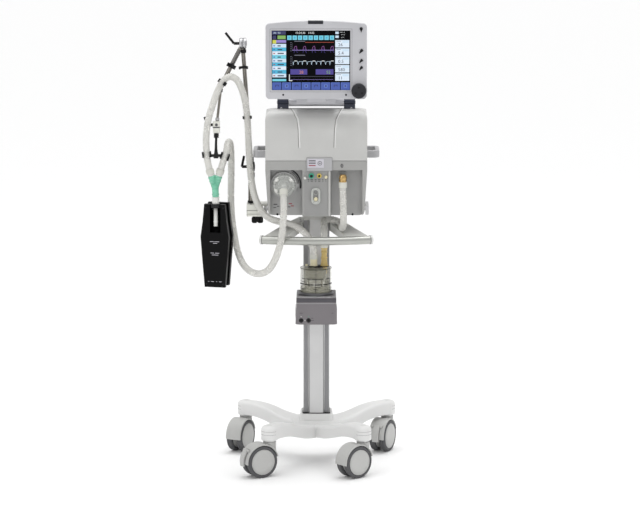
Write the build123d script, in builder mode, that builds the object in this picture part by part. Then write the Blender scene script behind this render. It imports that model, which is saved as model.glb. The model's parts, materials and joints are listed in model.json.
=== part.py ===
"""Intensive-care ventilator on a wheeled stand, with its breathing circuit.

Millimetres, +Z up, the front faces -Y.  The origin is on the floor, on the
axis of the column.  Every sub-part is written to parts/<node>.step.
"""
from build123d import *
import math
import os

os.makedirs("parts", exist_ok=True)

# ---------------------------------------------------------------- dimensions
# castors: twin 100 mm wheels under a hood, trailing behind a swivel stem
WHEEL_R = 50.0
HUB_R = 40.0
WHEEL_IN, WHEEL_OUT = 8.0, 27.0
TRAIL = 36.0
AXLE_R = 4.0
HOOD_R, HOOD_CLEAR_R, HOOD_HALF = 56.0, 52.0, 26.0
HOOD_TOP = 107.0
STEM_R = 5.5
RUNNING = 0.05                    # radial play of every pin and shaft
POD_BOTTOM, POD_TOP, POD_R = 113.0, 158.0, 26.0
FRONT_POD = (145.0, -243.0)
REAR_POD = (227.0, 125.0)
# heading of each castor: angle of the outer disc's normal from -Y
CASTORS = {
    "fl": (-FRONT_POD[0], FRONT_POD[1], 29.0),
    "fr": (FRONT_POD[0], FRONT_POD[1], 40.0),
    "rl": (-REAR_POD[0], REAR_POD[1], 64.0),
    "rr": (REAR_POD[0], REAR_POD[1], 66.0),
}
BRAKED = ("fl", "rr")

# stand
HUB_Y = -25.0
PLINTH_TOP = 150.0
COLUMN_W, COLUMN_D, COLUMN_WALL = 83.0, 62.0, 4.0
COLUMN_TOP = 770.0
RIB_W, RIB_D = 48.0, 78.0
BODY_BOTTOM = 804.0
BAR_R, BAR_WALL, BAR_HALF, BAR_Z = 13.0, 2.0, 166.0, 734.0
BAR_END_Y, BAR_MID_Y = -200.0, -225.0

# humidifier and its water chamber
HUM_W, HUM_D, HUM_Z, HUM_H = 130.0, 130.0, 463.0, 87.0
HUM_Y = -111.0
HUM_TOP = HUM_Z + HUM_H
CHAMBER_X, CHAMBER_Y = -1.5, -110.0
CHAMBER_R = 49.5
CHAMBER_TOP = 636.0
WET_PORT = (-8.0, 664.0)          # X and top of the port to the patient
DRY_PORT = (24.6, 700.0)          # X and top of the port from the ventilator

# ventilator body
FRONT_Y, BACK_Y, SPLIT_Y = -180.0, 120.0, -60.0
BODY_HALF, BODY_FOOT_HALF = 157.0, 148.0
CREST_Y, CREST_Z, REAR_TOP = -115.0, 1133.0, 1096.0
WALL = 4.0
SEAM_Z, BAND_Z = 977.0, 948.0
RECESS_Y = -155.0
VALVE = (-100.0, 899.0)

# monitor
TILT_Y, TILT_Z, BARREL_R, BARREL_HALF = -110.0, 1150.0, 12.5, 85.0
BEZEL_HALF, BEZEL_BOTTOM, BEZEL_SIDE_TOP, BEZEL_PEAK = 154.5, 1172.0, 1401.0, 1410.0
BEZEL_FRONT, BEZEL_BACK, MONITOR_BACK = -210.0, -188.0, -150.0
SCREEN_X, SCREEN_Z = (-136.0, 104.0), (1199.0, 1382.0)
KNOB = (130.0, 1198.0)
KEY_X = 137.0
KEYS = {"key_power": 1384.0, "key_1": 1319.0, "key_2": 1289.0, "key_3": 1267.0}

# breathing hoses, one outside radius
HOSE_R = 11.0

# test lung
LUNG_X, LUNG_Y, LUNG_TURN = -309.0, -99.0, -14.0
LUNG_OUTLINE = [(572.0, 33.0), (670.0, 41.0), (730.0, 45.5), (778.0, 38.5), (833.0, 33.0)]
FOLD_Z, FOLD_R = 579.0, 2.6


# ------------------------------------------------------------------- helpers
def write(name, *pieces):
    """Write one node: a single solid, or a group of separate solids."""
    shapes = [p.part if isinstance(p, BuildPart) else p for p in pieces]
    node = shapes[0] if len(shapes) == 1 else Compound(label=name, children=shapes)
    node.label = name
    export_step(node, f"parts/{name}.step")


def block(x0, x1, y0, y1, z0, z1, edge=0.0):
    """A box between two corners, its upright edges rounded."""
    with BuildPart() as form:
        with BuildSketch(Plane.XY.offset(z0)):
            with Locations(((x0 + x1) / 2, (y0 + y1) / 2)):
                if edge:
                    RectangleRounded(x1 - x0, y1 - y0, edge)
                else:
                    Rectangle(x1 - x0, y1 - y0)
        extrude(amount=z1 - z0)
    return form.part


def rod(start, end, radius, bore=0.0):
    """A round bar or tube from one point to another."""
    start, end = Vector(*start), Vector(*end)
    with BuildPart(Plane(origin=start, z_dir=end - start)) as form:
        low = (Align.CENTER, Align.CENTER, Align.MIN)
        Cylinder(radius, (end - start).length, align=low)
        if bore:
            Cylinder(bore, (end - start).length, align=low, mode=Mode.SUBTRACT)
    return form.part


def carve(form, *tools):
    """The form with every tool cut out of it."""
    with BuildPart() as result:
        add(form)
        for tool in tools:
            add(tool, mode=Mode.SUBTRACT)
    return result.part


def join(*forms):
    """Several overlapping forms as one piece."""
    with BuildPart() as result:
        for form in forms:
            add(form)
    return result.part


def common(form, *tools):
    """What the form shares with every tool."""
    with BuildPart() as result:
        add(form)
        for tool in tools:
            add(tool, mode=Mode.INTERSECT)
    return result.part


# ------------------------------------------------------------------- castors
PEDAL_PIVOT_ANGLE, PEDAL_PIVOT_R = 40.0, 57.0
PEDAL_PIVOT = (
    TRAIL + PEDAL_PIVOT_R * math.cos(math.radians(PEDAL_PIVOT_ANGLE)),
    WHEEL_R + PEDAL_PIVOT_R * math.sin(math.radians(PEDAL_PIVOT_ANGLE)),
)
PEDAL_HALF, PEDAL_PIN_R, PEDAL_BARREL_R = 10.5, 2.0, 5.0


def sector(r0, r1, start, end, half):
    """Part of a ring about the axle, between two angles from the trailing side."""
    with BuildPart() as form:
        with BuildSketch(Plane.XZ):
            with BuildLine():
                at = (TRAIL, WHEEL_R)
                outer = CenterArc(at, r1, start, end - start)
                inner = CenterArc(at, r0, start, end - start)
                Line(outer @ 0, inner @ 0)
                Line(outer @ 1, inner @ 1)
            make_face()
        extrude(amount=half, both=True)
    return form.part


def castor_hood(braked):
    """Hood over both wheels with its neck, webbed down to the axle."""
    with BuildPart() as hood:
        with BuildSketch(Plane.XZ):
            with Locations((TRAIL, WHEEL_R)):
                Circle(HOOD_R)
            with Locations((TRAIL, WHEEL_R - 54)):
                Rectangle(3 * HOOD_R, 100, mode=Mode.SUBTRACT)
            with BuildLine():
                Polyline((22, 45), (-30, 45), (-30, 70), close=True)
            make_face(mode=Mode.SUBTRACT)
        extrude(amount=HOOD_HALF, both=True)
        fillet(hood.edges().filter_by(GeomType.CIRCLE).filter_by(
            lambda e: abs(e.radius - HOOD_R) < 0.1 and abs(abs(e.center().Y) - HOOD_HALF) < 0.5), 2.5)
        with Locations((0, 0, HOOD_TOP - 22)):
            Cylinder(20, 44)
        for side in (-1, 1):
            with Locations(Location((TRAIL, side * (5.5 + 30), WHEEL_R), (90, 0, 0))):
                Cylinder(HOOD_CLEAR_R, 60, mode=Mode.SUBTRACT)
        with Locations(Location((TRAIL, 0, WHEEL_R), (90, 0, 0))):
            Cylinder(14, 11)
            Cylinder(AXLE_R, 12, mode=Mode.SUBTRACT)
        with Locations((0, 0, HOOD_TOP)):
            Cylinder(STEM_R, 24, mode=Mode.SUBTRACT)
        if braked:
            add(sector(51.0, 72.0, -14, 47, PEDAL_HALF + 0.8), mode=Mode.SUBTRACT)
            for side in (-1, 1):
                centre = (PEDAL_PIVOT[0], side * (PEDAL_HALF + 3.8), PEDAL_PIVOT[1])
                with Locations(Location(centre, (90, 0, 0))):
                    Cylinder(PEDAL_BARREL_R, 6)
            with Locations(Location((PEDAL_PIVOT[0], 0, PEDAL_PIVOT[1]), (90, 0, 0))):
                Cylinder(PEDAL_PIN_R, 2 * PEDAL_HALF + 14, mode=Mode.SUBTRACT)
    pieces = [hood.part]
    pieces.append(rod((0, 0, HOOD_TOP - 12), (0, 0, 140), STEM_R))
    pieces.append(rod((TRAIL, -23, WHEEL_R), (TRAIL, 23, WHEEL_R), AXLE_R))
    if braked:
        x, z = PEDAL_PIVOT
        reach = PEDAL_HALF + 6.5
        pieces.append(rod((x, -reach, z), (x, reach, z), PEDAL_PIN_R))
    return pieces


def castor_wheels():
    """Two hubs with their tyres, one each side of the hood's web."""
    pieces = []
    for side in (-1, 1):
        turn = Plane(origin=(TRAIL, 0, WHEEL_R), x_dir=(1, 0, 0), z_dir=(0, side, 0))
        with BuildPart(turn) as hub:
            with Locations((0, 0, (WHEEL_IN + WHEEL_OUT - 1) / 2)):
                Cylinder(HUB_R, WHEEL_OUT - 1 - WHEEL_IN)
            with Locations((0, 0, WHEEL_OUT)):
                Cylinder(HUB_R - 2, 3)
            fillet(hub.faces().sort_by(Axis.Y)[-1 if side > 0 else 0].outer_wire().edges(), 1.2)
            with Locations((0, 0, 15.8)):
                Cylinder(AXLE_R + RUNNING, 16, mode=Mode.SUBTRACT)
        with BuildPart(turn) as tyre:
            with Locations((0, 0, (WHEEL_IN + WHEEL_OUT) / 2)):
                Cylinder(WHEEL_R, WHEEL_OUT - WHEEL_IN)
            fillet(tyre.edges(), 4.5)
            with Locations((0, 0, (WHEEL_IN + WHEEL_OUT) / 2)):
                Cylinder(HUB_R, WHEEL_OUT, mode=Mode.SUBTRACT)
        pieces += [hub.part, tyre.part]
    return pieces


def brake_pedal():
    """Curved tongue behind the wheels, hung on a pin in the hood."""
    x, z = PEDAL_PIVOT
    tongue = join(
        sector(58.0, 62.5, -10, 38, PEDAL_HALF),
        rod((x, -PEDAL_HALF, z), (x, PEDAL_HALF, z), PEDAL_BARREL_R),
    )
    play = PEDAL_PIN_R + RUNNING
    return carve(tongue, rod((x, -20, z), (x, 20, z), play))


def castor_place(corner):
    x, y, heading = CASTORS[corner]
    return Location((x, y, 0), (0, 0, 180 + heading))


for corner in CASTORS:
    place = castor_place(corner)
    write(f"castor_hood_{corner}", *[p.moved(place) for p in castor_hood(corner in BRAKED)])
    write(f"castor_wheels_{corner}", *[p.moved(place) for p in castor_wheels()])
    if corner in BRAKED:
        write(f"brake_pedal_{corner}", brake_pedal().moved(place))


# -------------------------------------------------------------- base casting
def base_leg(x, y):
    """One arm of the base, narrowing and swept up from the hub to its pod."""
    run = Vector(x, y - HUB_Y, 0)
    half, tip = run.length / 2, run.length - 4
    foot, crown = run.length * 0.24, run.length * 0.9
    mid = (foot + crown) / 2
    with BuildPart() as leg:
        with BuildSketch(Plane.XY.offset(80)):
            with BuildLine():
                Line((0, -56), (0, 56))
                ThreePointArc((0, 56), (half, 35), (tip, 25))
                Line((tip, 25), (tip, -25))
                ThreePointArc((tip, -25), (half, -35), (0, -56))
            make_face()
        extrude(amount=90)
        with BuildSketch(Plane.XZ):
            with BuildLine():
                Polyline((foot, 87), (0, 87), (0, 127), (foot, 127))
                TangentArc((foot, 127), (mid, 142), tangent=(1, 0))
                TangentArc((crown, 157), (mid, 142), tangent=(-1, 0))
                Polyline((crown, 157), (tip, 157), (tip, 116), (crown, 116))
                TangentArc((crown, 116), (mid, 101.5), tangent=(-1, 0))
                TangentArc((foot, 87), (mid, 101.5), tangent=(1, 0))
            make_face()
        extrude(amount=80, both=True, mode=Mode.INTERSECT)
        top = leg.faces().filter_by(lambda f: f.normal_at(f.center()).Z > 0.7)
        fillet(top.edges().filter_by(
            lambda e: abs(e.center().Y) > 16 and e.length > 20 and abs(e.tangent_at(0.5).X) > 0.8), 11)
    return leg.part.moved(Location((0, HUB_Y, 0), (0, 0, math.degrees(math.atan2(run.Y, run.X)))))


def castor_pod(x, y):
    """The round socket at the end of a leg, domed on top."""
    with BuildPart() as pod:
        with Locations((x, y, (POD_BOTTOM + POD_TOP) / 2)):
            Cylinder(POD_R, POD_TOP - POD_BOTTOM)
        fillet(pod.edges().group_by(Axis.Z)[-1], 13)
        fillet(pod.edges().group_by(Axis.Z)[0], 1.5)
    return pod.part


LEGS = [(sx * FRONT_POD[0], FRONT_POD[1]) for sx in (-1, 1)]
LEGS += [(sx * REAR_POD[0], REAR_POD[1]) for sx in (-1, 1)]

with BuildPart() as base_casting:
    with BuildSketch(Plane.XY.offset(86)):
        with Locations((0, HUB_Y)):
            RectangleRounded(150, 112, 32)
    extrude(amount=42)
    for leg_x, leg_y in LEGS:
        add(base_leg(leg_x, leg_y))
        add(castor_pod(leg_x, leg_y))
    with BuildSketch(Plane.XY.offset(PLINTH_TOP)):
        with Locations((0, 0)):
            RectangleRounded(100, 92, 14)
    extrude(amount=-36, taper=-10)
    for leg_x, leg_y in LEGS:
        with Locations((leg_x, leg_y, POD_BOTTOM + 14)):
            Cylinder(STEM_R + RUNNING, 29, mode=Mode.SUBTRACT)
    # cored out from below, as a casting is
    with BuildSketch(Plane.XY.offset(80)):
        with Locations((0, HUB_Y)):
            RectangleRounded(126, 88, 24)
    extrude(amount=38, mode=Mode.SUBTRACT)

swivel_rings = [
    carve(rod((x, y, HOOD_TOP + 0.5), (x, y, POD_BOTTOM), 17),
          rod((x, y, 100), (x, y, 120), STEM_R + RUNNING))
    for x, y in LEGS
]
write("base_casting", base_casting, *swivel_rings)

# -------------------------------------------------------------------- column
with BuildPart() as column:
    with BuildSketch(Plane.XY.offset(PLINTH_TOP)):
        RectangleRounded(COLUMN_W, COLUMN_D, 6)
        RectangleRounded(RIB_W, RIB_D, 5)
        RectangleRounded(COLUMN_W - 2 * COLUMN_WALL, COLUMN_D - 2 * COLUMN_WALL, 3, mode=Mode.SUBTRACT)
    extrude(amount=COLUMN_TOP - PLINTH_TOP)
write("column", column)

# ---------------------------------------------------- handle bar and bracket
with BuildLine() as bar_path:
    ThreePointArc((-BAR_HALF, BAR_END_Y, BAR_Z), (0, BAR_MID_Y, BAR_Z), (BAR_HALF, BAR_END_Y, BAR_Z))


def bar_form(radius):
    """The handle bar's arc, swept at one radius."""
    with BuildPart() as form:
        with BuildSketch(Plane(origin=bar_path.line @ 0, z_dir=bar_path.line % 0)):
            Circle(radius)
        sweep(path=bar_path.line)
    return form.part


bar_tube = carve(bar_form(BAR_R), bar_form(BAR_R - BAR_WALL))
bar_caps = []
for end, sign in ((0, -1), (1, 1)):
    tip, way = bar_path.line @ end, (bar_path.line % end) * sign
    bar_caps.append(rod(tip, tip + way * 6, BAR_R + 0.6))
write("handle_bar", bar_tube, *bar_caps)

with BuildPart() as wings:
    with BuildSketch(Plane.XY.offset(700)):
        for side in (-1, 1):
            with BuildLine():
                Polyline(
                    (side * 41.5, 40), (side * 41.5, -31), (side * 93, -208), (side * 162, -208),
                    (side * 156, -184), (side * 72, 10), (side * 58, 40), close=True)
            make_face()
        with Locations((0, 45)):
            Rectangle(116, 12)
    extrude(amount=100)
    with BuildSketch(Plane.YZ):
        with BuildLine():
            Polyline(
                (51, 735), (-31, 735), (-208, 727), (-208, 742), (-184, 746), (-31, 762), (51, 766),
                close=True)
        make_face()
    extrude(amount=200, both=True, mode=Mode.INTERSECT)
    add(bar_form(BAR_R), mode=Mode.SUBTRACT)
    add(block(-COLUMN_W / 2, COLUMN_W / 2, -60, RIB_D / 2, 700, 800), mode=Mode.SUBTRACT)

with BuildPart() as mount_plate:
    with BuildSketch(Plane.XY.offset(COLUMN_TOP)):
        RectangleRounded(84, 78, 6)
    extrude(amount=BODY_BOTTOM - COLUMN_TOP)
    with Locations(*[Location((x, -39, 795), (90, 0, 0)) for x in (-30, -18, -6, 6, 18, 30)]):
        Cylinder(3.2, 16, mode=Mode.SUBTRACT)
    with Locations(*[Location((x, -39, 779), (90, 0, 0)) for x in (-26, 26)]):
        Cylinder(2.5, 20, mode=Mode.SUBTRACT)
plate_screws = [
    join(rod((x, -29.5, 779), (x, -39.0, 779), 2.5), rod((x, -39.0, 779), (x, -41.5, 779), 4.5))
    for x in (-26, 26)
]
write("handle_bracket", wings, mount_plate, *plate_screws)


# ---------------------------------------------------------------- humidifier
def humidifier_form(inset):
    """The housing's tapered outline, or its inside when inset."""
    with BuildPart() as form:
        with BuildSketch(Plane.XY.offset(HUM_Z + inset)):
            with Locations((0, HUM_Y)):
                RectangleRounded(HUM_W - 2 * inset, HUM_D - 2 * inset, max(14 - inset, 4))
        extrude(amount=HUM_H - inset - (9 if inset else 0), taper=2.6)
    return form.part


BUTTON_Z, BUTTON_R = 476.0, 4.6
BUTTONS = {"humidifier_button_left": -47.0, "humidifier_button_right": -24.0}
HEATER_R = 52.5
hum_outer = humidifier_form(0.0)
hum_front = HUM_Y - HUM_D / 2 + (BUTTON_Z - HUM_Z) * math.tan(math.radians(2.6))

with BuildPart() as humidifier_housing:
    add(hum_outer)
    fillet(humidifier_housing.faces().sort_by(Axis.Z)[-1].edges(), 2.5)
    add(humidifier_form(3.5), mode=Mode.SUBTRACT)
    add(block(-24, 24, HUM_Y + HUM_D / 2 - 3.4, -RIB_D / 2, 472, 535))
    with Locations((CHAMBER_X, CHAMBER_Y, HUM_TOP)):
        Cylinder(HEATER_R, 8, mode=Mode.SUBTRACT)
    with Locations(*[Location((x, hum_front, BUTTON_Z), (90, 0, 0)) for x in BUTTONS.values()]):
        Cylinder(BUTTON_R + 0.3, 12, mode=Mode.SUBTRACT)
write("humidifier_housing", humidifier_housing)

for name, x in BUTTONS.items():
    with BuildPart() as button:
        add(rod((x, hum_front - 1.8, BUTTON_Z), (x, hum_front + 6.5, BUTTON_Z), BUTTON_R))
        fillet(button.edges().group_by(Axis.Y)[0], 0.8)
        add(rod((x, hum_front + 4.4, BUTTON_Z), (x, hum_front + 6.5, BUTTON_Z), BUTTON_R + 1.6))
    write(name, button)

heater_disc = rod((CHAMBER_X, CHAMBER_Y, 546), (CHAMBER_X, CHAMBER_Y, 551), HEATER_R - 0.4)
with BuildPart() as chamber_guard:
    with BuildSketch(Plane.XY.offset(HUM_TOP)):
        with BuildLine():
            outer_arc = CenterArc((CHAMBER_X, CHAMBER_Y), 57, 195, 150)
            inner_arc = CenterArc((CHAMBER_X, CHAMBER_Y), 53.5, 195, 150)
            Line(outer_arc @ 0, inner_arc @ 0)
            Line(outer_arc @ 1, inner_arc @ 1)
        make_face()
    extrude(amount=9)
write("heater_plate", heater_disc, chamber_guard)

# -------------------------------------------------------------- water chamber
with BuildPart() as chamber_dome:
    with BuildSketch(Plane.XZ.offset(-CHAMBER_Y)):
        with BuildLine():
            Polyline(
                (CHAMBER_X, CHAMBER_TOP), (CHAMBER_X + 42, CHAMBER_TOP),
                (CHAMBER_X + CHAMBER_R, CHAMBER_TOP - 9), (CHAMBER_X + CHAMBER_R, 556),
                (CHAMBER_X + 52, 556), (CHAMBER_X + 52, 553), (CHAMBER_X + 47, 553),
                (CHAMBER_X + 47, CHAMBER_TOP - 10), (CHAMBER_X + 41, CHAMBER_TOP - 2.5),
                (CHAMBER_X, CHAMBER_TOP - 2.5), close=True)
        make_face()
    revolve(axis=Axis((CHAMBER_X, CHAMBER_Y, 0), (0, 0, 1)))
    with Locations((WET_PORT[0], CHAMBER_Y, CHAMBER_TOP), (DRY_PORT[0], CHAMBER_Y, CHAMBER_TOP)):
        Cylinder(HOSE_R, 20, mode=Mode.SUBTRACT)
write("chamber_dome", chamber_dome)

chamber_dish = carve(
    rod((CHAMBER_X, CHAMBER_Y, 551), (CHAMBER_X, CHAMBER_Y, 553), 52),
    rod((CHAMBER_X, CHAMBER_Y, 551.8), (CHAMBER_X, CHAMBER_Y, 560), 44))
chamber_float = join(
    rod((CHAMBER_X - 24, CHAMBER_Y + 6, 551.8), (CHAMBER_X - 24, CHAMBER_Y + 6, 566), 5),
    rod((CHAMBER_X - 24, CHAMBER_Y + 6, 566), (CHAMBER_X - 24, CHAMBER_Y + 6, 574), 12))
wet_port = rod((WET_PORT[0], CHAMBER_Y, 628), (WET_PORT[0], CHAMBER_Y, WET_PORT[1]), HOSE_R, 8.8)
dry_port = rod((DRY_PORT[0], CHAMBER_Y, 606), (DRY_PORT[0], CHAMBER_Y, DRY_PORT[1]), HOSE_R, 8.8)
write("chamber_fittings", chamber_dish, chamber_float, wet_port, dry_port)


# ----------------------------------------------------------- ventilator body
def body_form(inset):
    """The whole body, or its inside when inset."""
    half, foot = BODY_HALF - inset, BODY_FOOT_HALF - inset
    low, crest, rear_top = BODY_BOTTOM + inset, CREST_Z - inset, REAR_TOP - inset
    front, back = FRONT_Y + inset, BACK_Y - inset
    nose = CREST_Y - FRONT_Y - inset
    with BuildPart() as form:
        with BuildSketch(Plane.XZ.offset(-back)):
            with BuildLine():
                Polyline(
                    (-foot, low), (foot, low), (half, 945), (half, crest), (-half, crest), (-half, 945),
                    close=True)
            make_face()
            fillet([v for v in vertices() if v.Y > crest - 1], 32 - inset)
            fillet([v for v in vertices() if v.Y < low + 1], 18 - inset)
        extrude(amount=back - front)
        with BuildSketch(Plane.YZ):
            with BuildLine():
                Line((front, low), (front, crest - nose))
                CenterArc((front + nose, crest - nose), nose, 90, 90)
                Line((front + nose, crest), (back, rear_top))
                Polyline((back, rear_top), (back, low), (front, low))
            make_face()
        extrude(amount=200, both=True, mode=Mode.INTERSECT)
    return form.part


outer_body = body_form(0.0)
inner_body = body_form(WALL)
LABEL = (-30.0, 49.0, 946.0, 987.0)
label_window = block(LABEL[0] - 0.1, LABEL[1] + 0.1, -200, -170, LABEL[2] - 0.1, LABEL[3] + 0.1)

# grooves that flare out over the brow of the front cover
groove_blades = []
for side in (-1, 1):
    with BuildPart() as blade:
        with BuildSketch(Plane.XZ.offset(60)):
            with BuildLine():
                Polyline(
                    (side * 54, 1020), (side * 56, 1076), (side * 60, 1108), (side * 72, 1126),
                    (side * 82, 1150))
            trace(line_width=2.2)
        extrude(amount=150)
    groove_blades.append(blade.part)
groove_skin = carve(outer_body, body_form(1.4))

shell = carve(outer_body, inner_body)
front_cover = carve(
    common(shell, block(-200, 200, -220, SPLIT_Y - 0.2, SEAM_Z + 0.6, 1200)),
    label_window, *[common(groove_skin, b) for b in groove_blades])
write("front_cover", front_cover)

# feet of the monitor's hinge stand on the brow, above the rear shell's screws
rear_cut = [
    block(-30 + 14 * i, -22 + 14 * i, 110, 130, 850, 900) for i in range(5)]
rear_cut += [block(60, 90, 110, 130, 828, 852)]
rear_shell = carve(common(shell, block(-200, 200, SPLIT_Y + 0.2, 200, 700, 1200)), *rear_cut)
write("rear_shell", rear_shell)

# lower front: a band under the seam, and two bays each side of a port panel
LEFT_BAY = block(-142, -43, -220, RECESS_Y, 790, BAND_Z, 0)
RIGHT_BAY = block(45, 142, -220, RECESS_Y, 790, BAND_Z, 0)
bay_backs = [
    block(-146, -39, RECESS_Y, RECESS_Y + WALL, 790, BAND_Z + WALL),
    block(41, 146, RECESS_Y, RECESS_Y + WALL, 790, BAND_Z + WALL),
    block(-146, -142, FRONT_Y + 2, RECESS_Y, 790, BAND_Z + WALL),
    block(142, 146, FRONT_Y + 2, RECESS_Y, 790, BAND_Z + WALL),
    block(-43, -39, FRONT_Y + 2, RECESS_Y, 790, BAND_Z + WALL),
    block(41, 45, FRONT_Y + 2, RECESS_Y, 790, BAND_Z + WALL),
    block(-142, -43, FRONT_Y + 2, RECESS_Y, BAND_Z, BAND_Z + WALL),
    block(45, 142, FRONT_Y + 2, RECESS_Y, BAND_Z, BAND_Z + WALL),
]
PORTS = {"green": (-15.0, 931.0, 8.0), "yellow": (9.0, 931.0, 7.0),
         "drain": (-35.0, 924.0, 3.6), "purge": (30.0, 927.0, 4.2)}
lower_region = block(-200, 200, -220, SPLIT_Y - 0.2, 700, SEAM_Z - 0.6)
lower_panel = carve(
    join(common(shell, lower_region), *[common(outer_body, b) for b in bay_backs]),
    LEFT_BAY, RIGHT_BAY, label_window,
    *[rod((x, FRONT_Y + 10, z), (x, FRONT_Y - 1, z), r - 2) for x, z, r in PORTS.values()])
write("lower_panel", lower_panel)

with BuildPart() as label_block:
    add(block(LABEL[0], LABEL[1], -184, -174, LABEL[2], LABEL[3]))
    fillet(label_block.edges().filter_by(Axis.Y), 3)
    fillet(label_block.faces().sort_by(Axis.Y)[0].edges(), 1)
    add(block(LABEL[0] + 2.5, LABEL[0] + 54, -190, -183.2, LABEL[2] + 9, LABEL[3] - 3), mode=Mode.SUBTRACT)
write("label_block", label_block)

# ports on the centre panel: plugged spigots with knurled collars, and a latch
pressure_ports = []
for x, z, r in PORTS.values():
    pressure_ports.append(join(
        rod((x, FRONT_Y, z), (x, FRONT_Y - 9, z), r),
        rod((x, FRONT_Y + 6, z), (x, FRONT_Y, z), r - 2)))
with BuildPart() as sensor_latch:
    with BuildSketch(Plane.XZ.offset(-FRONT_Y)):
        with Locations((-1.5, 868)):
            RectangleRounded(28, 50, 12)
            with Locations((0, 8)):
                RectangleRounded(16, 38, 6, mode=Mode.SUBTRACT)
    extrude(amount=8)
pressure_ports.append(sensor_latch.part)
write("pressure_ports", *pressure_ports)

# inspiratory outlet: elbow out of the right bay, pointing down
INSP = (82.0, 925.0, -188.0)
insp_elbow = join(
    rod((INSP[0], RECESS_Y, INSP[1]), (INSP[0], RECESS_Y - 5, INSP[1]), 17),
    rod((INSP[0], RECESS_Y, INSP[1]), (INSP[0], INSP[2] - 10.5, INSP[1]), HOSE_R),
    rod((INSP[0], INSP[2], INSP[1] + 9), (INSP[0], INSP[2], 908), HOSE_R))
write("inspiratory_port", insp_elbow)

# exhalation valve: a domed disc in the left bay, its port pointing down
EXH_END = Vector(VALVE[0], -206, 886)
EXH_WAY = Vector(0, 18, 31).normalized()
VALVE_R = 36.0
with BuildPart() as exhalation_valve:
    add(rod((VALVE[0], RECESS_Y, VALVE[1]), (VALVE[0], RECESS_Y - 22, VALVE[1]), VALVE_R))
    fillet(exhalation_valve.faces().sort_by(Axis.Y)[0].edges(), 7)
    add(rod((VALVE[0], RECESS_Y - 21, VALVE[1]), (VALVE[0], RECESS_Y - 32, VALVE[1]), 19))
    for turn in (45, 135, 225):
        lobe_x = VALVE[0] + 28 * math.cos(math.radians(turn))
        lobe_z = VALVE[1] + 28 * math.sin(math.radians(turn))
        add(rod((lobe_x, RECESS_Y - 8, lobe_z), (lobe_x, RECESS_Y - 25, lobe_z), 6.5))
    add(rod(EXH_END + EXH_WAY * 24, EXH_END, HOSE_R))
write("exhalation_valve", exhalation_valve)

lock_ring = carve(
    join(
        rod((VALVE[0], RECESS_Y - 0.3, VALVE[1]), (VALVE[0], RECESS_Y - 12, VALVE[1]), 41.4),
        block(VALVE[0] + 36, VALVE[0] + 46, RECESS_Y - 12, RECESS_Y - 0.3, VALVE[1] - 5, VALVE[1] + 5)),
    rod((VALVE[0], RECESS_Y + 1, VALVE[1]), (VALVE[0], RECESS_Y - 20, VALVE[1]), VALVE_R + 0.3))
write("exhalation_lock_ring", lock_ring)

# D-shaped lifting handles, one each side
HANDLE_Z, HANDLE_TALL, HANDLE_REACH = 975.0, 23.0, 196.0
side_handles = []
for side in (-1, 1):
    with BuildPart() as handle:
        with BuildSketch(Plane.XY.offset(HANDLE_Z)):
            near, far = BODY_HALF, HANDLE_REACH
            with Locations((side * (near + far - 20) / 2, -42)):
                RectangleRounded(far - near + 20, 116, 16)
            with Locations((side * (near + far - 34) / 2, -42)):
                RectangleRounded(far - near + 6, 90, 9, mode=Mode.SUBTRACT)
            with Locations((side * (near - 40), -42)):
                Rectangle(80, 200, mode=Mode.SUBTRACT)
        extrude(amount=HANDLE_TALL)
        fillet(handle.edges().group_by(Axis.Z)[-1].filter_by(
            lambda e: abs(e.center().X) > BODY_HALF + 0.5), 4)
        fillet(handle.edges().group_by(Axis.Z)[0].filter_by(
            lambda e: abs(e.center().X) > BODY_HALF + 0.5), 4)
    side_handles.append(handle.part)
write("side_handles", *side_handles)

# accessory rails, 25 x 10 mm, on two stand-offs each
RAIL_IN, RAIL_OUT, RAIL_Z, RAIL_TALL, RAIL_Y = 153.0, 163.0, 798.0, 25.0, (-110.0, 0.0)
side_rails = []
for side in (-1, 1):
    lo, hi = sorted((side * RAIL_IN, side * RAIL_OUT))
    bar = block(lo, hi, RAIL_Y[0], RAIL_Y[1], RAIL_Z, RAIL_Z + RAIL_TALL)
    posts = [rod((side * 140, y, 815), (side * (RAIL_IN + 1), y, 815), 5) for y in (-101, -9)]
    side_rails.append(carve(join(bar, *posts), outer_body))
write("side_rails", *side_rails)

# gas inlets on the back: oxygen and air, threaded spigots on hex flanges
OXYGEN_R, AIR_R, INLET_Z = 7.1, 9.5, 850.0
gas_inlets = []
for x, r in ((-100.0, OXYGEN_R), (-60.0, AIR_R)):
    with BuildPart() as inlet:
        with BuildSketch(Plane.XZ.offset(-BACK_Y)):
            with Locations((x, INLET_Z)):
                RegularPolygon(r + 6, 6)
        extrude(amount=-8)
        add(rod((x, BACK_Y + 8, INLET_Z), (x, BACK_Y + 26, INLET_Z), r))
        add(rod((x, BACK_Y + 4, INLET_Z), (x, BACK_Y + 30, INLET_Z), r - 4.5), mode=Mode.SUBTRACT)
    gas_inlets.append(inlet.part)
write("gas_inlets", *gas_inlets)

# what the body holds: turbine, valve block, power supply and battery
FLOOR = BODY_BOTTOM + WALL
modules = [
    rod((74, 30, FLOOR), (74, 30, FLOOR + 75), 52),
    block(-110, -20, -40, 40, FLOOR, FLOOR + 90, 3),
    block(-120, 20, 50, 108, FLOOR, FLOOR + 60, 2),
    block(-120, -10, -50, 100, FLOOR + 95, FLOOR + 98, 2),
]
modules[3] = join(modules[3], *[
    rod((x, y, FLOOR + 90 if y < 45 else FLOOR + 60), (x, y, FLOOR + 96), 4)
    for x, y in ((-100, -30), (-30, -30), (-100, 90), (-30, 90))])
write("internal_modules", *modules)

# ------------------------------------------------------------------- monitor
BARREL_PIN_R = 5.0


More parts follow.
